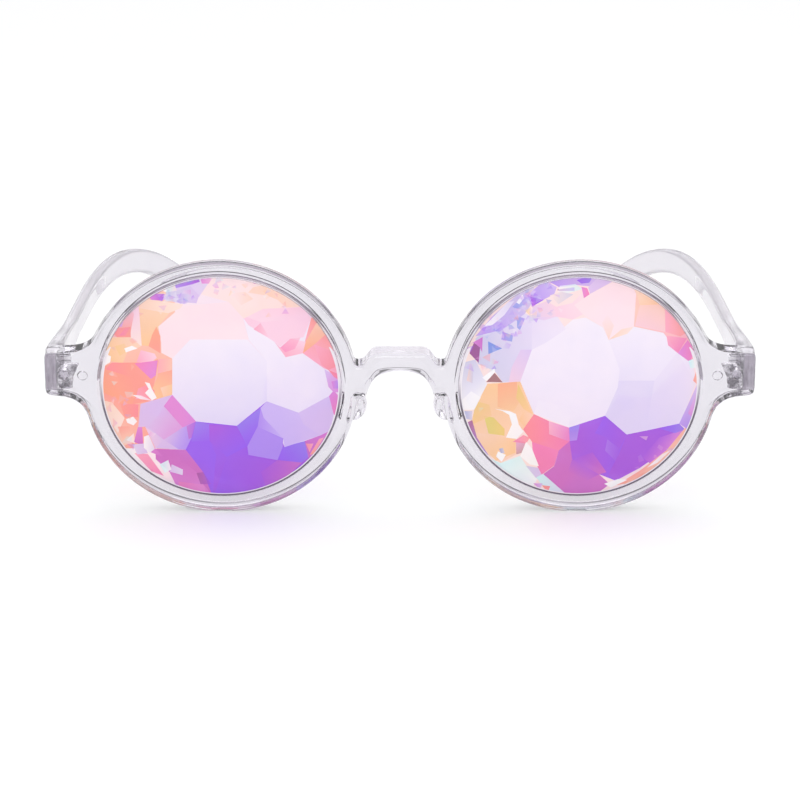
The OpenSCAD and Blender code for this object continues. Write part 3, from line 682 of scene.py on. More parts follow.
# each facet: outline in mm round the lens centre, its two tones, the direction of the change, and how much it covers
LEFT = [
    ([(-26, -26), (26, -26), (26, 26), (-26, 26)], "rose_white", "mist", 0, 1),
    ([(-26, 26), (-26, -26), (-13, -26), (-9, -4), (-9, 26)], "peach", "coral", -70, 1),
    ([(-12.5, 13.2), (-10, 15.5), (-7.5, 17.8), (2, 18.7), (4.8, 15.2), (6, 10.3), (-6, 10.3), (-9.8, 6), (-12, 7.3), (-12, 9.5)], "rose_white", "rose_white", 0, 1),
    ([(9.5, -3.7), (16, -6.3), (22.3, -2.5), (21.3, 3.8), (17, 7.2), (13.5, 6.3), (11.2, 9.8), (6, 13.5), (5, 15), (6, 10.3), (9.6, 5.5)], "mist", "snow", 120, 1),
    ([(-9.8, 6), (-10, -2.2), (-5.2, -8.3), (3.2, -9.3), (9.5, -3.7), (9.6, 5.5), (5.6, 10.3), (-6, 10.3)], "haze", "snow", 95, 1),
    # lower violet fan
    ([(-5.2, -8.3), (3.2, -9.3), (9.5, -3.7), (13, -14.2), (17.2, -12.8), (18.5, -17.5), (5, -26), (-1.8, -26), (-7.5, -14.8)], "violet", "purple", -30, 1),
    ([(-5.2, -8.3), (-2.3, -8.9), (-2.5, -12.8), (-6.3, -12.9)], "blue_violet", "violet", -60, 1),
    ([(-7.5, -14.8), (-6.3, -12.9), (-2.5, -12.8), (-1.2, -16), (-2.2, -25.5), (-4, -20)], "violet", "violet", 0, 1),
    ([(3.2, -9.3), (8.2, -5.2), (8.8, -7.5), (7.5, -9.5), (5.3, -14)], "blue_violet", "violet", -60, 1),
    ([(-2.5, -9.0), (3.2, -9.3), (5.3, -14), (1, -16.5), (-2.5, -12.8)], "purple", "violet", -60, 1),
    ([(7.5, -9.5), (12.8, -12.2), (12.6, -14.2), (11.5, -17.2), (5.5, -16), (5.3, -14)], "soft_violet", "soft_violet", 0, 1),
    ([(12.6, -14.2), (17.2, -12.8), (17.9, -16.5), (16.5, -17.8), (11.5, -17.2)], "violet", "blue_violet", 40, 1),
    ([(1, -16.5), (5.5, -16), (11.5, -17.2), (9, -22.8), (4, -25.5), (-1.8, -25.5)], "violet", "purple", 10, 1),
    ([(11.5, -17.2), (16.5, -17.8), (13.5, -21), (9, -23.5), (8, -20)], "purple", "magenta", 0, 1),
    # lower right lavender
    ([(8.2, -5.2), (9.5, -3.7), (16, -6.3), (22.3, -2.5), (23.5, -5.5), (22.3, -10.5), (20.5, -11.5), (13, -14.2), (12.8, -12.2), (8.8, -7.5)], "lavender", "lilac", 10, 1),
    ([(8.2, -5.2), (8.8, -7.5), (12.8, -12.2), (7.5, -9.5)], "soft_violet", "lavender", 0, 1),
    ([(16, -6.3), (22.3, -2.5), (23.5, -5.5), (22.5, -10.3), (20.5, -11.5), (17, -9)], "lilac", "lilac", 0, 1),
    ([(13, -14.2), (12.8, -12.2), (16, -10.2), (20.5, -11.5)], "lavender", "lilac", 20, 0.8),
    # right edge
    ([(22.3, -2.5), (23.3, -1.2), (25.5, -4), (24, -8), (23.2, -6.5)], "orchid", "hot_pink", -60, 1),
    ([(17.2, -12.8), (20.5, -11.5), (22.3, -10.5), (26, -7), (23, -13), (18.5, -18), (17.9, -16.5)], "magenta", "orchid", 20, 1),
    ([(18.2, -16), (20.2, -12.3), (21.2, -12), (19, -15.8)], "coral", "pink", 70, 1),
    ([(17.4, -13.4), (19, -13.4), (18.2, -15.4)], "salmon", "pink", 0, 1),
    ([(21.4, 3.6), (23.5, 2.3), (25.5, 1.5), (25.5, -1.8), (23.2, -1.6), (22.2, -0.4)], "lilac", "orchid", -40, 1),
    ([(22.8, 0.8), (24.5, 1.2), (24.4, -0.8), (23.2, -0.8)], "orchid", "soft_violet", 0, 1),
    # right upper
    ([(17, 7.2), (21.3, 3.8), (22.2, 3.4), (25.5, 2.3), (26, 8), (21, 16), (18.8, 15.2), (17.5, 10)], "pink", "coral", 60, 1),
    ([(17, 7.2), (17.6, 9.8), (20.5, 15.2), (22.3, 12), (19.5, 9.3)], "orange", "peach", 70, 1),
    ([(19.3, 9.2), (22.4, 8), (24.8, 4.6), (22.2, 3.4), (20.8, 4.6)], "pink", "salmon", -30, 1),
    ([(22.2, 3.4), (25.5, 2.2), (25.5, 0.4), (23.4, 1.8)], "salmon", "hot_pink", 0, 1),
    ([(11.2, 9.8), (13.5, 6.3), (17, 7.2), (17.6, 9.8), (14.5, 10.5), (12.4, 8.5)], "pink", "blush", 60, 1),
    ([(12.4, 8.5), (14.5, 10.5), (16.6, 10.8), (15.4, 8.2), (13.4, 7.4)], "hot_pink", "pink", 60, 0.55),
    ([(5, 15), (6, 13.5), (11.2, 9.8), (12.4, 8.7), (14.5, 10.5), (17.2, 10.8), (18.8, 15.2), (17, 17.6), (9, 17.2)], "blush", "blush", 0, 1),
    ([(7, 12.6), (8.4, 14), (10.4, 10.4)], "pink", "blush", 0, 1),
    ([(9, 17.2), (5.5, 15.4), (8.5, 14.2), (13, 14.6), (15, 17.5)], "rose_white", "blush", 0, 0.6),
    # top right
    ([(2, 18.7), (5, 15), (9, 17.2), (17, 17.6), (19, 19), (10, 26), (-1, 26), (-3.6, 20.4)], "peach_white", "rose_white", 90, 1),
    ([(10.2, 20), (12, 19.2), (13.6, 17.5), (17.6, 17.7), (16, 20.4), (11, 23.5), (9, 21)], "peach", "peach_white", 40, 1),
    ([(6, 20.8), (9.5, 20.2), (9.8, 22.6), (7, 22)], "peach", "peach", 0, 0.7),
    ([(14.4, 20.5), (17, 18.6), (18, 17), (19, 18.4), (15.5, 21.6)], "apricot", "pink", 30, 0.9),
    ([(6.4, 23.6), (7.8, 24), (8.5, 22.7), (7.2, 22.8)], "orchid", "plum", 0, 1),
    ([(2.4, 20.6), (4.6, 18), (7, 19.4), (5.4, 21)], "rose_white", "peach", 0, 0.7),
    ([(9.6, 24), (12.4, 23), (12, 21.6), (10, 22.6)], "pink", "peach", 0, 0.9),
    # top left shards
    ([(-0.4, 25.5), (-4, 19.9), (-7, 18.2), (-11.5, 19.3), (-9, 23.5), (-4, 26)], "lilac", "haze", 60, 1),
    ([(-9.2, 23.2), (-4.5, 25.5), (-3.8, 23.2), (-5.5, 22.6), (-8.7, 21.8)], "soft_violet", "purple", 30, 1),
    ([(-4.2, 25.5), (-0.4, 25.6), (-2, 22.8), (-3.4, 22.8)], "orchid", "blush", 20, 1),
    ([(-14.4, 20.6), (-11, 20.5), (-11.5, 19), (-13.9, 19.2)], "orchid", "purple", 0, 1),
    ([(-10.8, 19), (-4.6, 18.4), (-4, 20.2), (-5.8, 22.3), (-8.5, 21.2), (-10.8, 20.8)], "grey_lilac", "lilac", 0, 1),
    ([(-10.8, 20.8), (-8.5, 21.3), (-9.2, 23), (-10.9, 21.9)], "cyan", "peach_white", 0, 0.8),
    ([(-6.6, 24), (-5.5, 24.2), (-5.4, 23.2), (-6.3, 23)], "blue", "blue_violet", 0, 1),
    ([(-8.4, 19.2), (-6.4, 19), (-6.2, 20.6), (-7.8, 20.8)], "soft_violet", "grey_lilac", 0, 0.5),
    ([(-13, 22), (-10.8, 20.9), (-9.2, 23.2), (-10, 24)], "white", "white", 0, 1),
    # left upper
    ([(-16.4, 19.6), (-7.2, 18.2), (-8, 17.2), (-10, 16.5), (-12.5, 13.2), (-12.6, 11), (-14.6, 8.8), (-16, 9), (-16.6, 15)], "apricot", "peach", 75, 1),
    ([(-16.4, 19.6), (-7.2, 18.2), (-8, 17.2), (-10.4, 16.2), (-16.6, 17.4)], "peach", "peach_white", 20, 1),
    ([(-14.6, 8.8), (-12.2, 7.2), (-12.1, 11), (-12.9, 13.2), (-13.8, 11.4)], "coral", "orange", 90, 1),
    ([(-16.4, 17.8), (-19.8, 15.8), (-18.2, 9.5), (-16, 8.9)], "blush", "peach_white", -80, 1),
    ([(-20.6, 16), (-18.4, 18.2), (-17.4, 16), (-18.4, 11), (-22.6, 10.8)], "blush", "coral", -80, 1),
    ([(-20.4, 16.4), (-19, 16.4), (-20, 13.2), (-21.6, 13)], "orchid", "lilac", 0, 1),
    ([(-22.6, 10.8), (-20.8, 12.8), (-18.2, 13.2), (-18.2, 10.8)], "salmon", "coral", -30, 1),
    ([(-20.6, 11.2), (-19.2, 12.9), (-18.2, 13.1), (-19.3, 11.2)], "hot_pink", "salmon", 0, 0.6),
    ([(-24, 9.5), (-22.4, 10.8), (-18.2, 10.8), (-16.1, 8.8), (-19, 7.5), (-20, 5), (-23.5, 5.6)], "apricot", "peach", 30, 1),
    ([(-21.5, 8.8), (-19.6, 9.4), (-18.6, 7.9), (-20.6, 6.6)], "yellow", "apricot", 0, 0.4),
    ([(-24.6, 7.6), (-22.4, 6.5), (-22.6, 5.2), (-24.4, 4), (-25.6, 5.5)], "white", "white", 0, 1),
    ([(-19.6, 8.3), (-18, 8.9), (-16.9, 8.3), (-19.3, 7.4)], "white", "white", 0, 1),
    ([(-16.2, 7.9), (-13.4, 7.1), (-13, 6.2), (-14.2, 5.1), (-17.2, 5.1)], "pink", "blush", 20, 1),
    # left
    ([(-26, 3), (-22.2, 5.1), (-14.3, 5.1), (-12.8, 5.9), (-12.6, 5.4), (-14, -1.4), (-13.2, -3.4), (-17.6, -4.2), (-19.6, -6), (-26, 0)], "coral", "coral", 0, 1),
    ([(-17.6, 4.9), (-12.8, 5.6), (-13.3, 2.2), (-14.3, 1.4)], "hot_pink", "orchid", -30, 1),
    ([(-26, 2), (-23.6, 3.6), (-18.4, 1.8), (-17.6, -3.2), (-19.6, -6), (-25, -1)], "orange", "coral", 30, 1),
    ([(-22.2, 5.1), (-18.6, 5), (-18.4, 1.8), (-23.6, 3.6)], "salmon", "coral", 0, 1),
    ([(-12.6, 5.9), (-9.8, 6), (-10, -2.2), (-13.4, -3.2), (-14.1, -1), (-12.9, 2)], "apricot", "coral", 70, 1),
    ([(-12.6, 5.9), (-9.8, 6), (-9.9, 3.4), (-12.9, 2.6)], "pink", "peach", 0, 0.7),
    ([(-11.8, -2.8), (-10, -2.2), (-9.95, 0.2), (-12.4, -0.6)], "peach", "apricot", 0, 0.9),
    ([(-17.6, -3.2), (-14, -3), (-13.6, -1.3), (-15, 0.1), (-17, -0.8)], "pink", "salmon", 30, 1),
    ([(-15.6, 0.7), (-14.6, 0.4), (-14.2, -0.8), (-13.2, -2.9), (-14.2, -3.5), (-15.6, -1.8), (-14.8, -0.9)], "white", "white", 0, 1),
    ([(-18.4, -2.2), (-16.4, -2.4), (-14, -3.6), (-16.6, -3.2)], "white", "blush", 0, 1),
    # lower left lavender
    ([(-16.6, -4.3), (-10, -2.2), (-5.2, -8.3), (-7.5, -14.8), (-13.8, -14.5), (-15.8, -9.5), (-17.2, -9.6)], "lilac", "lilac", 0, 1),
    ([(-10, -2.2), (-5.2, -8.3), (-8, -9.7), (-11.8, -4.8)], "orchid", "orchid", 0, 1),
    ([(-11.8, -4.8), (-8, -9.7), (-12, -12.5), (-15.5, -9.3), (-13, -7)], "orchid", "lilac", 150, 0.6),
    ([(-5.2, -8.3), (-8, -9.7), (-12, -12.5), (-9, -14.7), (-7.5, -14.8), (-6.2, -12)], "soft_violet", "lilac", 160, 1),
    ([(-5.2, -8.3), (-7.2, -9.4), (-6.8, -12.4), (-6.2, -12)], "magenta", "purple", 0, 0.7),
    ([(-15.8, -9.5), (-12, -12.5), (-13.8, -14.5)], "blush", "lilac", 0, 0.7),
    # far left, low
    ([(-26, -1), (-21.5, -3), (-19.6, -6), (-17.2, -5), (-17.2, -9.5), (-18, -12.8), (-20.5, -14), (-26, -8)], "peach", "coral", 60, 1),
    ([(-20.8, -4.2), (-17, -4.4), (-17.2, -7.3), (-20, -7.5)], "coral", "salmon", 0, 1),
    ([(-26, -3), (-22.5, -4), (-20, -7.5), (-21.5, -11)], "peach", "peach_white", -40, 1),
    ([(-21.5, -9.5), (-19, -9.4), (-18.6, -12.6), (-20.4, -13.2)], "coral", "peach", -60, 0.8),
    ([(-19.7, -7.8), (-18.2, -7.2), (-17.4, -8.3), (-18.2, -9.2), (-19.5, -8.6)], "white", "white", 0, 1),
    ([(-19.8, -12.6), (-18.2, -11), (-18, -13.4)], "white", "peach_white", 0, 1),
    ([(-18.2, -13), (-17.3, -9.6), (-16.4, -9.6), (-16.3, -14)], "orchid", "magenta", -80, 1),
    # bottom left
    ([(-20, -14.5), (-13.6, -14.4), (-10.8, -19.8), (-11, -26), (-20, -22)], "white", "rose_white", 0, 1),
    ([(-13.8, -14.6), (-7.5, -14.8), (-4, -20), (-2.2, -25.5), (-9.2, -24), (-11, -20), (-13.8, -17)], "magenta", "magenta", -60, 1),
    ([(-11, -20), (-8, -17.6), (-5, -20.4), (-3.4, -24.6), (-9.2, -24.6)], "magenta", "orchid", -90, 0.8),
    ([(-9.2, -22.2), (-4, -22.9), (-2.2, -25.4), (-9, -25)], "hot_pink", "orchid", 0, 0.6),
    ([(-5.4, -20.2), (-4, -20), (-2.4, -22.8), (-4.6, -22.8)], "plum", "purple", 0, 0.7),
    ([(-15.6, -14.7), (-13.9, -14.4), (-12, -16.6), (-14.8, -15.4)], "orchid", "magenta", 0, 1),
    ([(-10.5, -18.2), (-8.2, -19.4), (-8.3, -20.7), (-10.9, -19.9)], "lilac", "haze", 0, 1),
    ([(-18.2, -15.6), (-15.4, -15.8), (-12.2, -20.9), (-14.8, -19.8)], "pink", "hot_pink", -50, 1),
    ([(-18.6, -13.6), (-16.2, -13.4), (-15.4, -15.6), (-17.6, -15.9)], "haze", "lilac", 0, 1),
    ([(-13, -18.2), (-11.2, -17.2), (-10.6, -19.4), (-12, -20.2)], "cyan", "white", 0, 0.9),
    ([(-16.1, -11.8), (-15.1, -11.4), (-13.9, -14.6), (-15, -15.5), (-16.2, -14.4)], "white", "haze", 0, 1),
]

RIGHT = [
    ([(-26, -26), (26, -26), (26, 26), (-26, 26)], "peach_white", "rose_white", 0, 1),
    # right lavender
    ([(5.4, -7), (10, -11.3), (20.8, -8.8), (22.3, -5), (24, 0.5), (23.3, 5), (20, 7.5), (17, 11.8), (10.9, 13.2), (5.8, 10.2), (8.2, 3.5), (7.9, -0.5)], "haze", "snow", 70, 1),
    ([(5.4, -7), (10, -11.3), (14, -10.4), (15.6, 1), (8, 1)], "haze", "haze", 0, 1),
    ([(14, -10.4), (20.8, -8.8), (22.3, -5), (24, 0.5), (20, 7.5), (15.4, 1)], "haze", "mist", 40, 1),
    # centre
    ([(-12.2, 0.8), (-9.3, -6.6), (-2, -9.7), (5.4, -7), (7.9, -0.5), (8.2, 3.5), (5.8, 10.2), (4.6, 13), (1, 15.2), (-1.6, 14.8), (-7, 9.6), (-9.9, 8)], "mist", "snow", 80, 1),
    ([(-9.3, -6.6), (-2, -9.7), (-1.8, -5), (-8.4, -3.4)], "white", "mist", 60, 0.35),
    # bottom violet
    ([(-2, -9.7), (5.4, -7), (10, -11.3), (13, -16), (8, -22), (4.5, -20.5), (-1.2, -17), (-1.8, -12.8)], "purple", "violet", 0, 1),
    ([(-2, -9.7), (0.2, -9.0), (-0.3, -12.6), (-1.8, -12.8)], "blue_violet", "soft_violet", -80, 1),
    ([(5.4, -7), (10, -11.3), (8.6, -14.6), (6, -12), (3.4, -11)], "violet", "purple", 0, 1),
    ([(6, -12.4), (8.6, -14.6), (8, -17.6), (5.6, -15)], "soft_violet", "purple", 0, 0.5),
    ([(-1.2, -17), (3, -15.4), (6, -20), (4.5, -20.5)], "purple", "magenta", -60, 1),
    ([(10, -11.3), (20.8, -8.8), (22.2, -10.2), (18, -15), (13, -19), (8, -22), (8.4, -16)], "purple", "purple", -40, 1),
    ([(16.8, -12), (22.2, -10), (20.5, -13.4), (15, -18), (13.4, -16.5)], "purple", "orchid", -30, 1),
    ([(16.6, -9.9), (20.8, -8.8), (22.2, -10.2), (20, -11)], "violet", "blue_violet", 0, 1),
    ([(8.4, -16), (13.4, -16.5), (12, -19.6), (8, -22), (6.4, -20.6)], "purple", "purple", 0, 1),
    # lower right edge
    ([(22.2, -9.6), (25, -6), (25.8, -8), (21, -16), (14, -22), (8.2, -23), (13, -19.6), (18.4, -14.9)], "coral", "peach", -40, 1),
    ([(17.4, -15.9), (19.4, -14.8), (16.6, -17.8), (14.4, -19)], "white", "peach_white", 0, 1),
    ([(20.8, -8.8), (22.3, -5), (24.2, 0), (26, -2), (24, -7.6), (22.4, -10)], "lilac", "soft_violet", -60, 1),
    ([(22.6, -6.4), (24.3, -1), (25.6, -3), (24, -8)], "orchid", "lilac", 60, 0.8),
    ([(22.4, -10), (24, -7.4), (24.8, -6), (23, -10.6)], "hot_pink", "coral", 60, 1),
    # bottom magenta
    ([(-11.6, -10), (-9.3, -6.6), (-6.2, -8.2), (-2, -9.7), (-1.8, -12.8), (-4, -15), (-9.6, -13)], "salmon", "hot_pink", 0, 1),
    ([(-6.2, -8.2), (-2, -9.7), (-1.9, -12.9), (-6.1, -11.2)], "orchid", "blush", 170, 0.6),
    ([(-9.6, -13), (-4, -15), (-4.9, -18.5), (-7.7, -20.8), (-9.4, -15.5)], "hot_pink", "hot_pink", -70, 1),
    ([(-4, -15), (-1.8, -12.8), (-1.2, -17), (-1.4, -18.6), (-5, -19)], "magenta", "magenta", 0, 1),
    ([(-7.7, -20.9), (-4.9, -18.6), (-1.2, -17), (4.5, -20.5), (6.8, -22.8), (3, -26), (-4, -26)], "magenta", "magenta", -100, 1),
    ([(-1.2, -17), (4.5, -20.5), (2, -22), (-2, -20)], "magenta", "purple", 60, 0.7),
    ([(5.6, -22.7), (8.5, -21.6), (10.4, -21.8), (7, -23.6)], "white", "white", 0, 1),
    ([(8.6, -23.8), (11.8, -21.2), (14, -20), (12, -23)], "peach", "coral", 20, 1),
    # left orange
    ([(-19, 0.3), (-16, 0.5), (-12.2, 0.8), (-9.3, -6.6), (-11.4, -10), (-12.9, -12.4), (-12.7, -15.8), (-16, -17.9), (-19, -15.7), (-23, -11), (-21.2, -4.5)], "peach", "apricot", 100, 1),
    ([(-16.8, 0.3), (-12.9, 0.8), (-12.4, -4), (-13.5, -6), (-16.8, -5)], "apricot", "orange", 120, 0.8),
    ([(-12.6, 0.2), (-11.8, -1.5), (-9.6, -6.6), (-11.4, -5.5), (-13, -3)], "yellow", "apricot", -60, 1),
    ([(-19.6, -7), (-17.6, -7.4), (-15.3, -10), (-15.3, -11.6), (-18.6, -11.1)], "lime", "yellow", 0, 1),
    ([(-21.4, -3.6), (-18.5, -4.5), (-18, -7), (-22, -9)], "yellow", "apricot", -40, 0.8),
    ([(-11.4, -6), (-9.4, -6.8), (-11.2, -9.6), (-12.4, -8)], "apricot", "peach", 0, 1),
    ([(-22.8, -10.6), (-15.5, -11.8), (-13, -12.5), (-13, -15.5), (-17, -17.4)], "peach", "apricot", -60, 1),
    ([(-17.4, -5.4), (-14.2, -6), (-13, -6.6), (-12.4, -9), (-11.4, -10.6), (-12.8, -12.3), (-15, -12), (-13.8, -9), (-14.4, -6.8), (-15.8, -5.9)], "white", "white", 0, 1),
    ([(-16.6, -15.2), (-15, -16), (-15.8, -17.6), (-17, -16.4)], "white", "white", 0, 1),
    ([(-16.4, -14.6), (-15.6, -14.4), (-15.2, -15.6), (-16, -15.6)], "blue", "grey_lilac", 0, 0.8),
    ([(-12.9, -12.6), (-11, -13), (-11.2, -15.4), (-12.8, -15.9)], "orchid", "brown", -60, 0.6),
    ([(-13.6, -13), (-11.4, -11.4), (-10, -12), (-10.8, -13.4)], "hot_pink", "salmon", 0, 0.8),
    # bottom left cyan
    ([(-20, -16), (-16, -17.9), (-12, -16.2), (-10.5, -18.8), (-8.3, -21.5), (-9.5, -24), (-16, -22)], "cyan", "white", -60, 1),
    ([(-12, -16.3), (-10.8, -13), (-9.6, -14.5), (-8.1, -18.6), (-10, -18.2)], "white", "white", 0, 1),
    ([(-10.8, -18.5), (-8.2, -19), (-7.2, -21.2), (-8.6, -21.4)], "grey_lilac", "lilac", 0, 1),
    ([(-8.6, -21.2), (-7.2, -20.4), (-2.4, -25), (-5.6, -25.6)], "cyan", "haze", 0, 1),
    ([(-7.4, -23), (-5.6, -23.3), (-6.2, -24.8)], "coral", "salmon", 0, 1),
    ([(-9.2, -22.6), (-7.2, -22.6), (-7.8, -24)], "orchid", "lilac", 0, 1),
    # left edge
    ([(-26, 0), (-23.6, 5.2), (-21.5, 5.8), (-19, 0.2), (-21.2, -4.5), (-25, -6)], "grey_lilac", "white", -60, 1),
    ([(-24.6, -4), (-22.3, -1.4), (-20.3, -2.8), (-21.6, -5.6), (-24, -5.7)], "white", "white", 0, 1),
    ([(-25, -6), (-22, -5.9), (-22, -8), (-24, -7.6)], "blue", "grey_lilac", 0, 0.8),
    ([(-23.2, 1), (-22.6, 5), (-21.8, 4.6), (-22, 0.4)], "peach", "grey_lilac", 0, 0.8),
    ([(-22, -8), (-21, -12), (-18.6, -16), (-20, -16), (-24, -9)], "plum", "blue_violet", -60, 0.8),
    # upper left
    ([(-21, 4.8), (-21.5, 10.5), (-14, 18), (-9.9, 15.2), (-9.9, 8), (-12.2, 0.8), (-15.8, 0.6), (-17.5, 3.2)], "grey_lilac", "haze", 10, 1),
    ([(-14.6, 0.6), (-12.2, 0.8), (-9.9, 8), (-12.2, 8), (-14, 4)], "blush", "lilac", 60, 0.8),
    ([(-9.9, 8), (-7, 9.6), (-3, 12.6), (-4.8, 15.5), (-10, 15.2)], "haze", "mist", -30, 1),
    ([(-18.8, 7), (-18.9, 9.9), (-16, 8.3)], "blue", "blue", 0, 1),
    ([(-22.7, 7.2), (-21.8, 9.6), (-20.5, 8.5), (-20.8, 5)], "plum", "plum", 0, 1),
    ([(-22.4, 9.4), (-20, 10.9), (-20.1, 7.4), (-20.6, 8.6), (-21.8, 9.6)], "orchid", "magenta", 0, 1),
    ([(-20, 1.7), (-17.5, 3.8), (-17.4, 2.7), (-19.2, 0.9)], "white", "white", 0, 1),
    ([(-19.2, 0.7), (-17.5, 2.8), (-15.8, 0.6)], "brown", "brown", 0, 1),
    ([(-16, 12.1), (-13.8, 11.2), (-14, 9.8), (-16.2, 10.3)], "blue_violet", "blue", 0, 0.7),
    ([(-13, 15.6), (-11.4, 15), (-12.4, 12.4), (-13, 13)], "blue", "soft_violet", 0, 0.8),
    ([(-21.5, 11), (-18, 15.6), (-12, 21.4), (-9.5, 23), (-10, 18.5), (-11.5, 16), (-16, 12.5)], "soft_violet", "grey_lilac", 60, 0.85),
    ([(-20, 13), (-15, 18.6), (-13.6, 19), (-15.6, 15.8), (-18, 13.6)], "white", "haze", 0, 1),
    ([(-18, 12.4), (-15, 15.4), (-14.4, 14), (-16.6, 12)], "blue_violet", "lavender", 0, 0.7),
    ([(-14, 17.6), (-11.4, 20.8), (-10.4, 19.4), (-12.4, 17)], "blue", "lavender", 40, 0.8),
    ([(-13.2, 18.6), (-12, 20.4), (-11.6, 19.6), (-12.6, 18.2)], "white", "white", 0, 0.9),
    ([(-11.4, 16.8), (-10.2, 17.6), (-10.4, 15.6)], "yellow", "peach", 0, 0.6),
    ([(-11, 20.2), (-10, 17.8), (-7.5, 19.3), (-5.5, 20.5), (-5, 22), (-7.5, 23.6)], "soft_violet", "lavender", 40, 1),
    ([(-10.4, 19.9), (-9.9, 17.7), (-7.6, 19.2)], "purple", "violet", 0, 1),
    ([(-10, 15.2), (-7.5, 14.6), (-4.8, 15.5), (-5, 17.6), (-7, 18.9), (-9.8, 17.7)], "lilac", "blush", 30, 0.75),
    ([(-5.6, 17.5), (-1.8, 18.5), (0.8, 21.5), (1.8, 20.4), (0.5, 16), (-1.6, 14.8), (-5, 15.4)], "blush", "rose_white", 40, 1),
    ([(-8, 24), (-2, 25.6), (4.6, 25.6), (1.6, 22.2), (-1, 22.5), (-4.5, 22)], "soft_violet", "lilac", 20, 1),
    ([(-4.9, 21.5), (-1.4, 22), (-1.4, 21.2), (-4.6, 21.1)], "plum", "violet", 0, 1),
    ([(-4.4, 22.3), (-1.2, 22.7), (0.2, 21.6), (-2.8, 20.6), (-4.8, 21)], "white", "cyan", 0, 0.7),
    ([(-1, 23.6), (2.6, 24.8), (1.6, 23), (0, 22.8)], "violet", "blue_violet", 0, 1),
    ([(0, 22.1), (0.6, 19.3), (1.8, 20.2), (1.2, 21.8)], "orchid", "hot_pink", 0, 1),
    ([(-6.4, 20.2), (-4, 21), (-1.6, 20.4), (-4.6, 18.2)], "peach_white", "grey_lilac", 0, 0.9),
    ([(1.4, 21.9), (4.4, 25.5), (8.6, 24.6), (1.8, 20.5)], "lilac", "lilac", 0, 1),
    # top and upper right
    ([(1.8, 20.5), (9.5, 24.6), (11.2, 20.5), (10.9, 13.2), (5.8, 10.2), (4.8, 13), (0.4, 16), (-1.4, 18)], "rose_white", "rose_white", 0, 1),
    ([(5.8, 10.2), (8.4, 12.6), (10.9, 13.2), (9.6, 11.6)], "peach", "peach_white", 0, 1),
    ([(4.4, 14), (5.4, 16), (6.8, 13.4), (5.8, 10.2)], "rose_white", "peach", -80, 0.7),
    ([(10.9, 13.2), (17, 11.8), (20, 7.5), (22.8, 5), (26, 3), (24, 12), (19, 18), (13, 23), (9.5, 24.6), (11.2, 20.5)], "peach", "pink", -20, 1),
    ([(11.3, 20.6), (9.6, 24.4), (14, 22), (17, 18.2), (12, 18)], "apricot", "peach_white", 150, 0.8),
    ([(17.2, 17.7), (17.4, 12), (20.5, 11), (23, 12.6), (19, 17.4)], "pink", "coral", 0, 1),
    ([(12, 18), (17, 18.2), (17.4, 12), (11.1, 13.4)], "blush", "peach", 60, 0.7),
    ([(17.6, 11.2), (21.9, 10.6), (20.1, 7.2), (18, 9)], "pink", "hot_pink", -50, 0.9),
    ([(20.1, 7.2), (22, 10.2), (23.6, 8), (22.6, 5.2)], "orchid", "hot_pink", 0, 1),
    ([(22, 13), (24.4, 8), (25.6, 2), (23.4, 5.4), (23.4, 8.6)], "pink", "coral", -60, 1),
    ([(22.3, 5.5), (23.2, 5.9), (24.2, 4), (22.8, 3.8)], "cyan", "white", 0, 1),
    ([(23.4, 1), (24.2, 4), (25.6, 1.4), (25.4, -1)], "coral", "peach", 0, 0.9),
]


def to_linear(c):
    c = np.asarray(c, float)
    return np.where(c <= 0.04045, c / 12.92, ((c + 0.055) / 1.055) ** 2.4)


def facet_tone(f, x, y):
    pts, a, b, turn, cover = f
    p = np.array(pts, float)
    d = np.array([math.cos(math.radians(turn)), math.sin(math.radians(turn))])
    t = p @ d
    lo, hi = t.min(), t.max()
    u = min(max((x * d[0] + y * d[1] - lo) / max(hi - lo, 1e-6), 0), 1)
    return np.array(PALETTE[a]) * (1 - u) + np.array(PALETTE[b]) * u


WARM = ["white", "orchid", "soft_violet", "apricot", "pink", "lavender", "coral", "cyan", "peach_white", "blush"]
COOL = ["white", "blue", "soft_violet", "grey_lilac", "lavender", "haze", "orchid", "violet", "blue_violet", "snow"]


def shards(rng, zones, count, r0, r1, size, tones=WARM):
    """Small extra splinters of light near the edge, where the crystal's outer facets catch each other."""
    out = []
    for _ in range(count):
        z0, z1 = rng.choice(zones)
        a = math.radians(rng.uniform(z0, z1))
        r = rng.uniform(r0, r1)
        c = np.array([r * math.cos(a), r * math.sin(a)])
        n = rng.choice([3, 3, 4])
        b0 = rng.uniform(0, 2 * math.pi)
        k = rng.uniform(0.5, 1.0) * size
        ang = sorted(b0 + 2 * math.pi * i / n + rng.uniform(-0.5, 0.5) for i in range(n))
        pts = [tuple(c + k * rng.uniform(0.5, 1.0) * np.array([math.cos(t), math.sin(t)])) for t in ang]
        out.append((pts, rng.choice(tones), rng.choice(tones), rng.uniform(0, 360), rng.uniform(0.2, 0.5)))
    return out


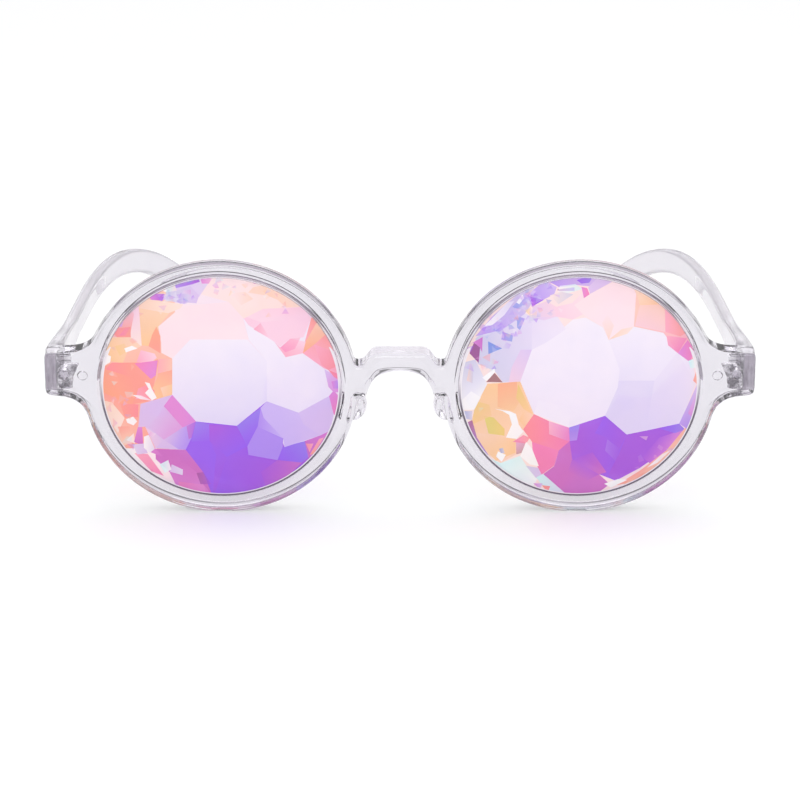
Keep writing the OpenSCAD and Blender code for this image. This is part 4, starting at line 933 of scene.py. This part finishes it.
def lens_mesh(name, facets, zones, seed, sgn):
    """A closed faceted disc. Its front facets follow the drawn layout, its back has its own, coarser cut."""
    rng = random.Random(seed)
    layout = list(facets) + shards(rng, zones, 26, 18, 24.4, 1.5)
    if sgn > 0:
        layout += shards(rng, [(104, 172), (112, 150)], 64, 17, 24.2, 1.35, COOL)
    else:
        layout += shards(rng, [(103, 128)], 22, 20, 24.2, 1.2, COOL) + shards(rng, [(45, 92)], 16, 20.5, 24.2, 1.2)
    R = 24.82
    M = 128
    circle = [(R * math.cos(2 * math.pi * i / M), R * math.sin(2 * math.pi * i / M)) for i in range(M)]

    def dome(x, y):
        r = math.hypot(x, y) / R
        return 0.3 + 0.95 * r * r

    def seen(p):
        """The outlines were drawn flat: on the dome they sit a little higher towards the middle."""
        r = min(math.hypot(p[0], p[1]) / R, 1)
        return (p[0], p[1] + 1.15 - 0.45 * r * r)

    layout = [([seen(p) for p in f[0]], *f[1:]) for f in layout]
    # painted light at the lens's edge: an outer band of painted shade, dark in the lower half, and inside it a
    # near-white band of painted highlight
    shade_ring = [(24.44 * math.cos(2 * math.pi * i / M), 24.44 * math.sin(2 * math.pi * i / M)) for i in range(M)]
    highlight_ring = [(24.22 * math.cos(2 * math.pi * i / M), 24.22 * math.sin(2 * math.pi * i / M)) for i in range(M)]

    def shade_ring_tone(x, y):
        """The line round the lens: painted shade in the lower half, light above."""
        u = min(max((-y / R + 0.05) / 0.25, 0), 1)
        return np.array([0.97, 0.95, 0.98]) * (1 - u) + np.array([0.42, 0.38, 0.45]) * u

    bm = bmesh.new()
    layer = bm.loops.layers.float_color.new("tone")

    def sheet(layers, height, flip):
        verts2, faces2 = [], []
        for pts in [circle, shade_ring, highlight_ring] + [f[0] for f in layers]:
            if sum(pts[i - 1][0] * pts[i][1] - pts[i][0] * pts[i - 1][1] for i in range(len(pts))) < 0:
                pts = pts[::-1]
            base = len(verts2)
            verts2 += [Vector(p) for p in pts]
            faces2.append(list(range(base, base + len(pts))))
        v, e, f, ov, oe, of_ = delaunay_2d_cdt(verts2, [], faces2, 1, 1e-4)
        keep = [(tri, src) for tri, src in zip(f, of_) if 0 in src]
        made = {}
        rim = {}
        for tri, src in keep:
            cx = sum(v[i][0] for i in tri) / 3
            cy = sum(v[i][1] for i in tri) / 3
            vs = []
            for i in tri:
                if i not in made:
                    x, y = v[i]
                    made[i] = bm.verts.new((x, height(x, y), y))
                vs.append(made[i])
            if len({id(t) for t in vs}) < 3:
                continue
            if flip:
                vs = vs[::-1]
            try:
                face = bm.faces.new(vs)
            except ValueError:
                continue
            stack = sorted(s - 3 for s in src if s > 2)
            for lp in face.loops:
                x, _, y = lp.vert.co
                c = np.array([1.0, 1.0, 1.0])
                for s in stack:
                    f_ = layers[s]
                    c = c * (1 - f_[4]) + facet_tone(f_, x, y) * f_[4]
                # in the lower part: a near-white band of painted highlight, then the outer band of painted shade
                if 2 not in src and cy < 9:
                    c = np.array([0.98, 0.96, 0.99])
                if 1 not in src and cy < 9:
                    c = shade_ring_tone(x, y)
                lp[layer] = (*to_linear(c), 1.0)
        for i, vert in made.items():
            x, y = v[i]
            if abs(math.hypot(x, y) - R) < 0.02 or any(len(e_.link_faces) == 1 for e_ in vert.link_edges):
                rim[vert] = math.atan2(y, x)
        return [k for k, _ in sorted(rim.items(), key=lambda t: t[1])]

    front_rim = sheet(layout, dome, False)
    # the back: a coarser cut in the same tones, turned, so that the pattern shifts with the view
    rng2 = random.Random(seed + 7)
    turned = []
    ca, sa = math.cos(math.radians(37)), math.sin(math.radians(37))
    for f in facets:
        pts = [((x * ca - y * sa) * 0.98, (x * sa + y * ca) * 0.98) for x, y in f[0]]
        area = 0.5 * abs(sum(pts[i][0] * pts[i - 1][1] - pts[i - 1][0] * pts[i][1] for i in range(len(pts))))
        if area > 9:
            turned.append((pts, f[1], f[2], f[3] + 37, f[4]))

    def back(x, y):
        r = math.hypot(x, y) / R
        return 4.25 - 0.35 * r * r

    back_rim = sheet(turned, back, True)
    # side walls: from the front rim in to the groove step, round it, and to the back rim
    def ring(radius, w, n=M):
        return [bm.verts.new((radius * math.cos(-math.pi + 2 * math.pi * i / n), w, radius * math.sin(-math.pi + 2 * math.pi * i / n))) for i in range(n)]

    # the bead at the back edge, where the lens sits in the rim, is painted dark: painted shade, the dark line seen
    # round the lens
    rings = [ring(24.84, 2.27), ring(25.28, 2.31), ring(25.5, 2.33), ring(25.54, 3.92), ring(25.70, 3.96), ring(25.70, 4.14), ring(25.45, 4.17)]

    def side_tone(y):
        """The lens's edge: dark only in the lower half, where the rim's light doesn't reach it."""
        u = min(max((-y / R + 0.05) / 0.25, 0), 1)
        return np.array([0.93, 0.90, 0.95]) * (1 - u) + np.array([0.36, 0.32, 0.38]) * u

    def wall_tone(face, tone):
        if tone is None:
            tone = side_tone(face.calc_center_median().z)
        for lp in face.loops:
            lp[layer] = (*to_linear(tone), 1.0)

    def zip_rings(a, b, tone):
        """Joins two closed rings of different counts, both sorted by angle."""
        ang = lambda t: math.atan2(t.co.z, t.co.x)
        i = j = 0
        na, nb = len(a), len(b)
        while i < na or j < nb:
            ta = ang(a[(i + 1) % na]) + (2 * math.pi if i + 1 >= na else 0) if i < na else 1e9
            tb = ang(b[(j + 1) % nb]) + (2 * math.pi if j + 1 >= nb else 0) if j < nb else 1e9
            if ta <= tb:
                tri = (a[i % na], a[(i + 1) % na], b[j % nb])
                i += 1
            else:
                tri = (a[i % na], b[(j + 1) % nb], b[j % nb])
                j += 1
            try:
                wall_tone(bm.faces.new(tri), tone)
            except ValueError:
                pass

    zip_rings(front_rim, rings[0], None)
    # the walls' tones: near-white, then grey lines and a dark bead of painted shade
    for a, b, tone in zip(rings, rings[1:], ((0.98, 0.97, 0.99), (0.66, 0.62, 0.68), (0.72, 0.68, 0.74), (0.26, 0.23, 0.28), (0.26, 0.23, 0.28), (0.26, 0.23, 0.28))):
        zip_rings(a, b, tone)
    zip_rings(rings[-1], back_rim, (0.93, 0.90, 0.95))
    bmesh.ops.recalc_face_normals(bm, faces=bm.faces)
    cx = sgn * LENS_X
    for vert in bm.verts:
        x, w, q = vert.co
        vert.co = Vector(lean(np.array(x + cx), np.array(w), np.array(q))) * MM
    me = bpy.data.meshes.new(name)
    bm.to_mesh(me)
    bm.free()
    me.validate()
    me.polygons.foreach_set("use_smooth", [False] * len(me.polygons))
    ob = bpy.data.objects.new(name, me)
    bpy.context.collection.objects.link(ob)
    return ob


def crystal(name):
    """Coated crystal: each facet takes its own tones, with a slow drift through them, under a hard clear polish."""
    m, nt, b, out = new_material(name)
    at = nt.nodes.new("ShaderNodeAttribute")
    at.attribute_name = "tone"
    n = noise(nt, 170.0, 2.0)
    drift = ramp(nt, n.outputs["Fac"], [(0.3, (0.80, 0.79, 0.80)), (0.7, (0.86, 0.84, 0.80))])
    mul = nt.nodes.new("ShaderNodeMix")
    mul.data_type = "RGBA"
    mul.blend_type = "MULTIPLY"
    mul.inputs[0].default_value = 0.6
    nt.links.new(at.outputs["Color"], mul.inputs[6])
    nt.links.new(drift.outputs["Color"], mul.inputs[7])
    nt.links.new(mul.outputs[2], b.inputs["Base Color"])
    fine = noise(nt, 700.0, 3.0)
    rr = range_to(nt, fine.outputs["Fac"], 0.02, 0.07)
    nt.links.new(rr.outputs["Result"], b.inputs["Roughness"])
    b.inputs["IOR"].default_value = 1.52
    b.inputs["Transmission Weight"].default_value = 0.2
    b.inputs["Coat Weight"].default_value = 0.6
    b.inputs["Coat Roughness"].default_value = 0.02
    through_shadow(m, nt, b, out, (0.95, 1.0, 0.93))
    return m


crystal_mat = crystal("coated_crystal")
for side, sgn, layout, zones, seed in (("left", -1, LEFT, [(48, 78), (100, 235), (150, 215)], 11), ("right", 1, RIGHT, [(95, 245), (110, 170), (-62, -28)], 23)):
    lens = lens_mesh(f"crystal_{side}", layout, zones, seed, sgn)
    lens.data.materials.append(crystal_mat)
    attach(lens, "front")
    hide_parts(f"lens_{side}")

# ------------------------------------------------------------------ floor, light and camera
me = bpy.data.meshes.new("floor")
me.from_pydata([(-4, -4, 0), (4, -4, 0), (4, 4, 0), (-4, 4, 0)], [], [(0, 1, 2, 3)])
floor = bpy.data.objects.new("floor", me)
bpy.context.collection.objects.link(floor)
fm, nt, b, out = new_material("floor_white")
fn = noise(nt, 3.0, 2.0)
fc = ramp(nt, fn.outputs["Fac"], [(0.3, (0.94, 0.952, 0.935)), (0.7, (0.955, 0.967, 0.95))])
nt.links.new(fc.outputs["Color"], b.inputs["Base Color"])
b.inputs["Roughness"].default_value = 0.6
b.inputs["Specular IOR Level"].default_value = 0.2
floor.data.materials.append(fm)

world = bpy.data.worlds.new("studio")
bpy.context.scene.world = world
world.use_nodes = True
wn = world.node_tree
wn.nodes.clear()
wo = wn.nodes.new("ShaderNodeOutputWorld")
bg = wn.nodes.new("ShaderNodeBackground")
tc = wn.nodes.new("ShaderNodeTexCoord")
sep = wn.nodes.new("ShaderNodeSeparateXYZ")
wn.links.new(tc.outputs["Generated"], sep.inputs[0])
up = wn.nodes.new("ShaderNodeValToRGB")
els = up.color_ramp.elements
while len(els) < 7:
    els.new(0.5)
# brightness by height: below the horizon, a dark strip of studio wall, then the bright cloth above it
for e, (p, v) in zip(els, ((0.0, 1.0), (0.495, 1.0), (0.502, 0.26), (0.535, 0.26), (0.56, 0.8), (0.585, 1.0), (1.0, 1.0))):
    e.position = p
    e.color = (v * 0.98, v * 0.97, v, 1)
m1 = wn.nodes.new("ShaderNodeMapRange")
m1.inputs["From Min"].default_value = -1
m1.inputs["From Max"].default_value = 1
wn.links.new(sep.outputs["Z"], m1.inputs["Value"])
wn.links.new(m1.outputs["Result"], up.inputs["Fac"])
lp = wn.nodes.new("ShaderNodeLightPath")
mixw = wn.nodes.new("ShaderNodeMix")
mixw.data_type = "RGBA"
wn.links.new(lp.outputs["Is Camera Ray"], mixw.inputs[0])
wn.links.new(up.outputs["Color"], mixw.inputs[6])
mixw.inputs[7].default_value = (1, 1, 1, 1)
wn.links.new(mixw.outputs[2], bg.inputs["Color"])
bg.inputs["Strength"].default_value = 1.0
wn.links.new(bg.outputs[0], wo.inputs["Surface"])


def lamp(name, kind_size, loc, target, power):
    ld = bpy.data.lights.new(name, "AREA")
    ld.shape = "RECTANGLE"
    ld.size, ld.size_y = kind_size
    ld.energy = power
    lo = bpy.data.objects.new(name, ld)
    lo.location = loc
    lo.rotation_euler = (Vector(target) - Vector(loc)).to_track_quat("-Z", "Y").to_euler()
    bpy.context.collection.objects.link(lo)
    return lo


lamp("overhead", (0.9, 0.7), (0.0, 0.05, 0.9), (0, 0, 0), 0.6)
lamp("front", (0.8, 0.5), (0.0, -1.0, 0.55), (0, -0.05, 0.02), 3.6)

cam_d = bpy.data.cameras.new("camera")
cam = bpy.data.objects.new("camera", cam_d)
bpy.context.collection.objects.link(cam)
ALPHA = math.radians(17.0)
DIST = 850.0
cam.location = (0, (-DIST * math.cos(ALPHA) - MID_Y) * MM, (25.43 + DIST * math.sin(ALPHA)) * MM)
cam.rotation_euler = (math.radians(90) - ALPHA, 0, 0)
cam_d.sensor_width = 36
cam_d.lens = 4126.2 * 36 / 800
cam_d.clip_start = 0.01
bpy.context.scene.camera = cam
bpy.context.scene.view_settings.view_transform = "Standard"
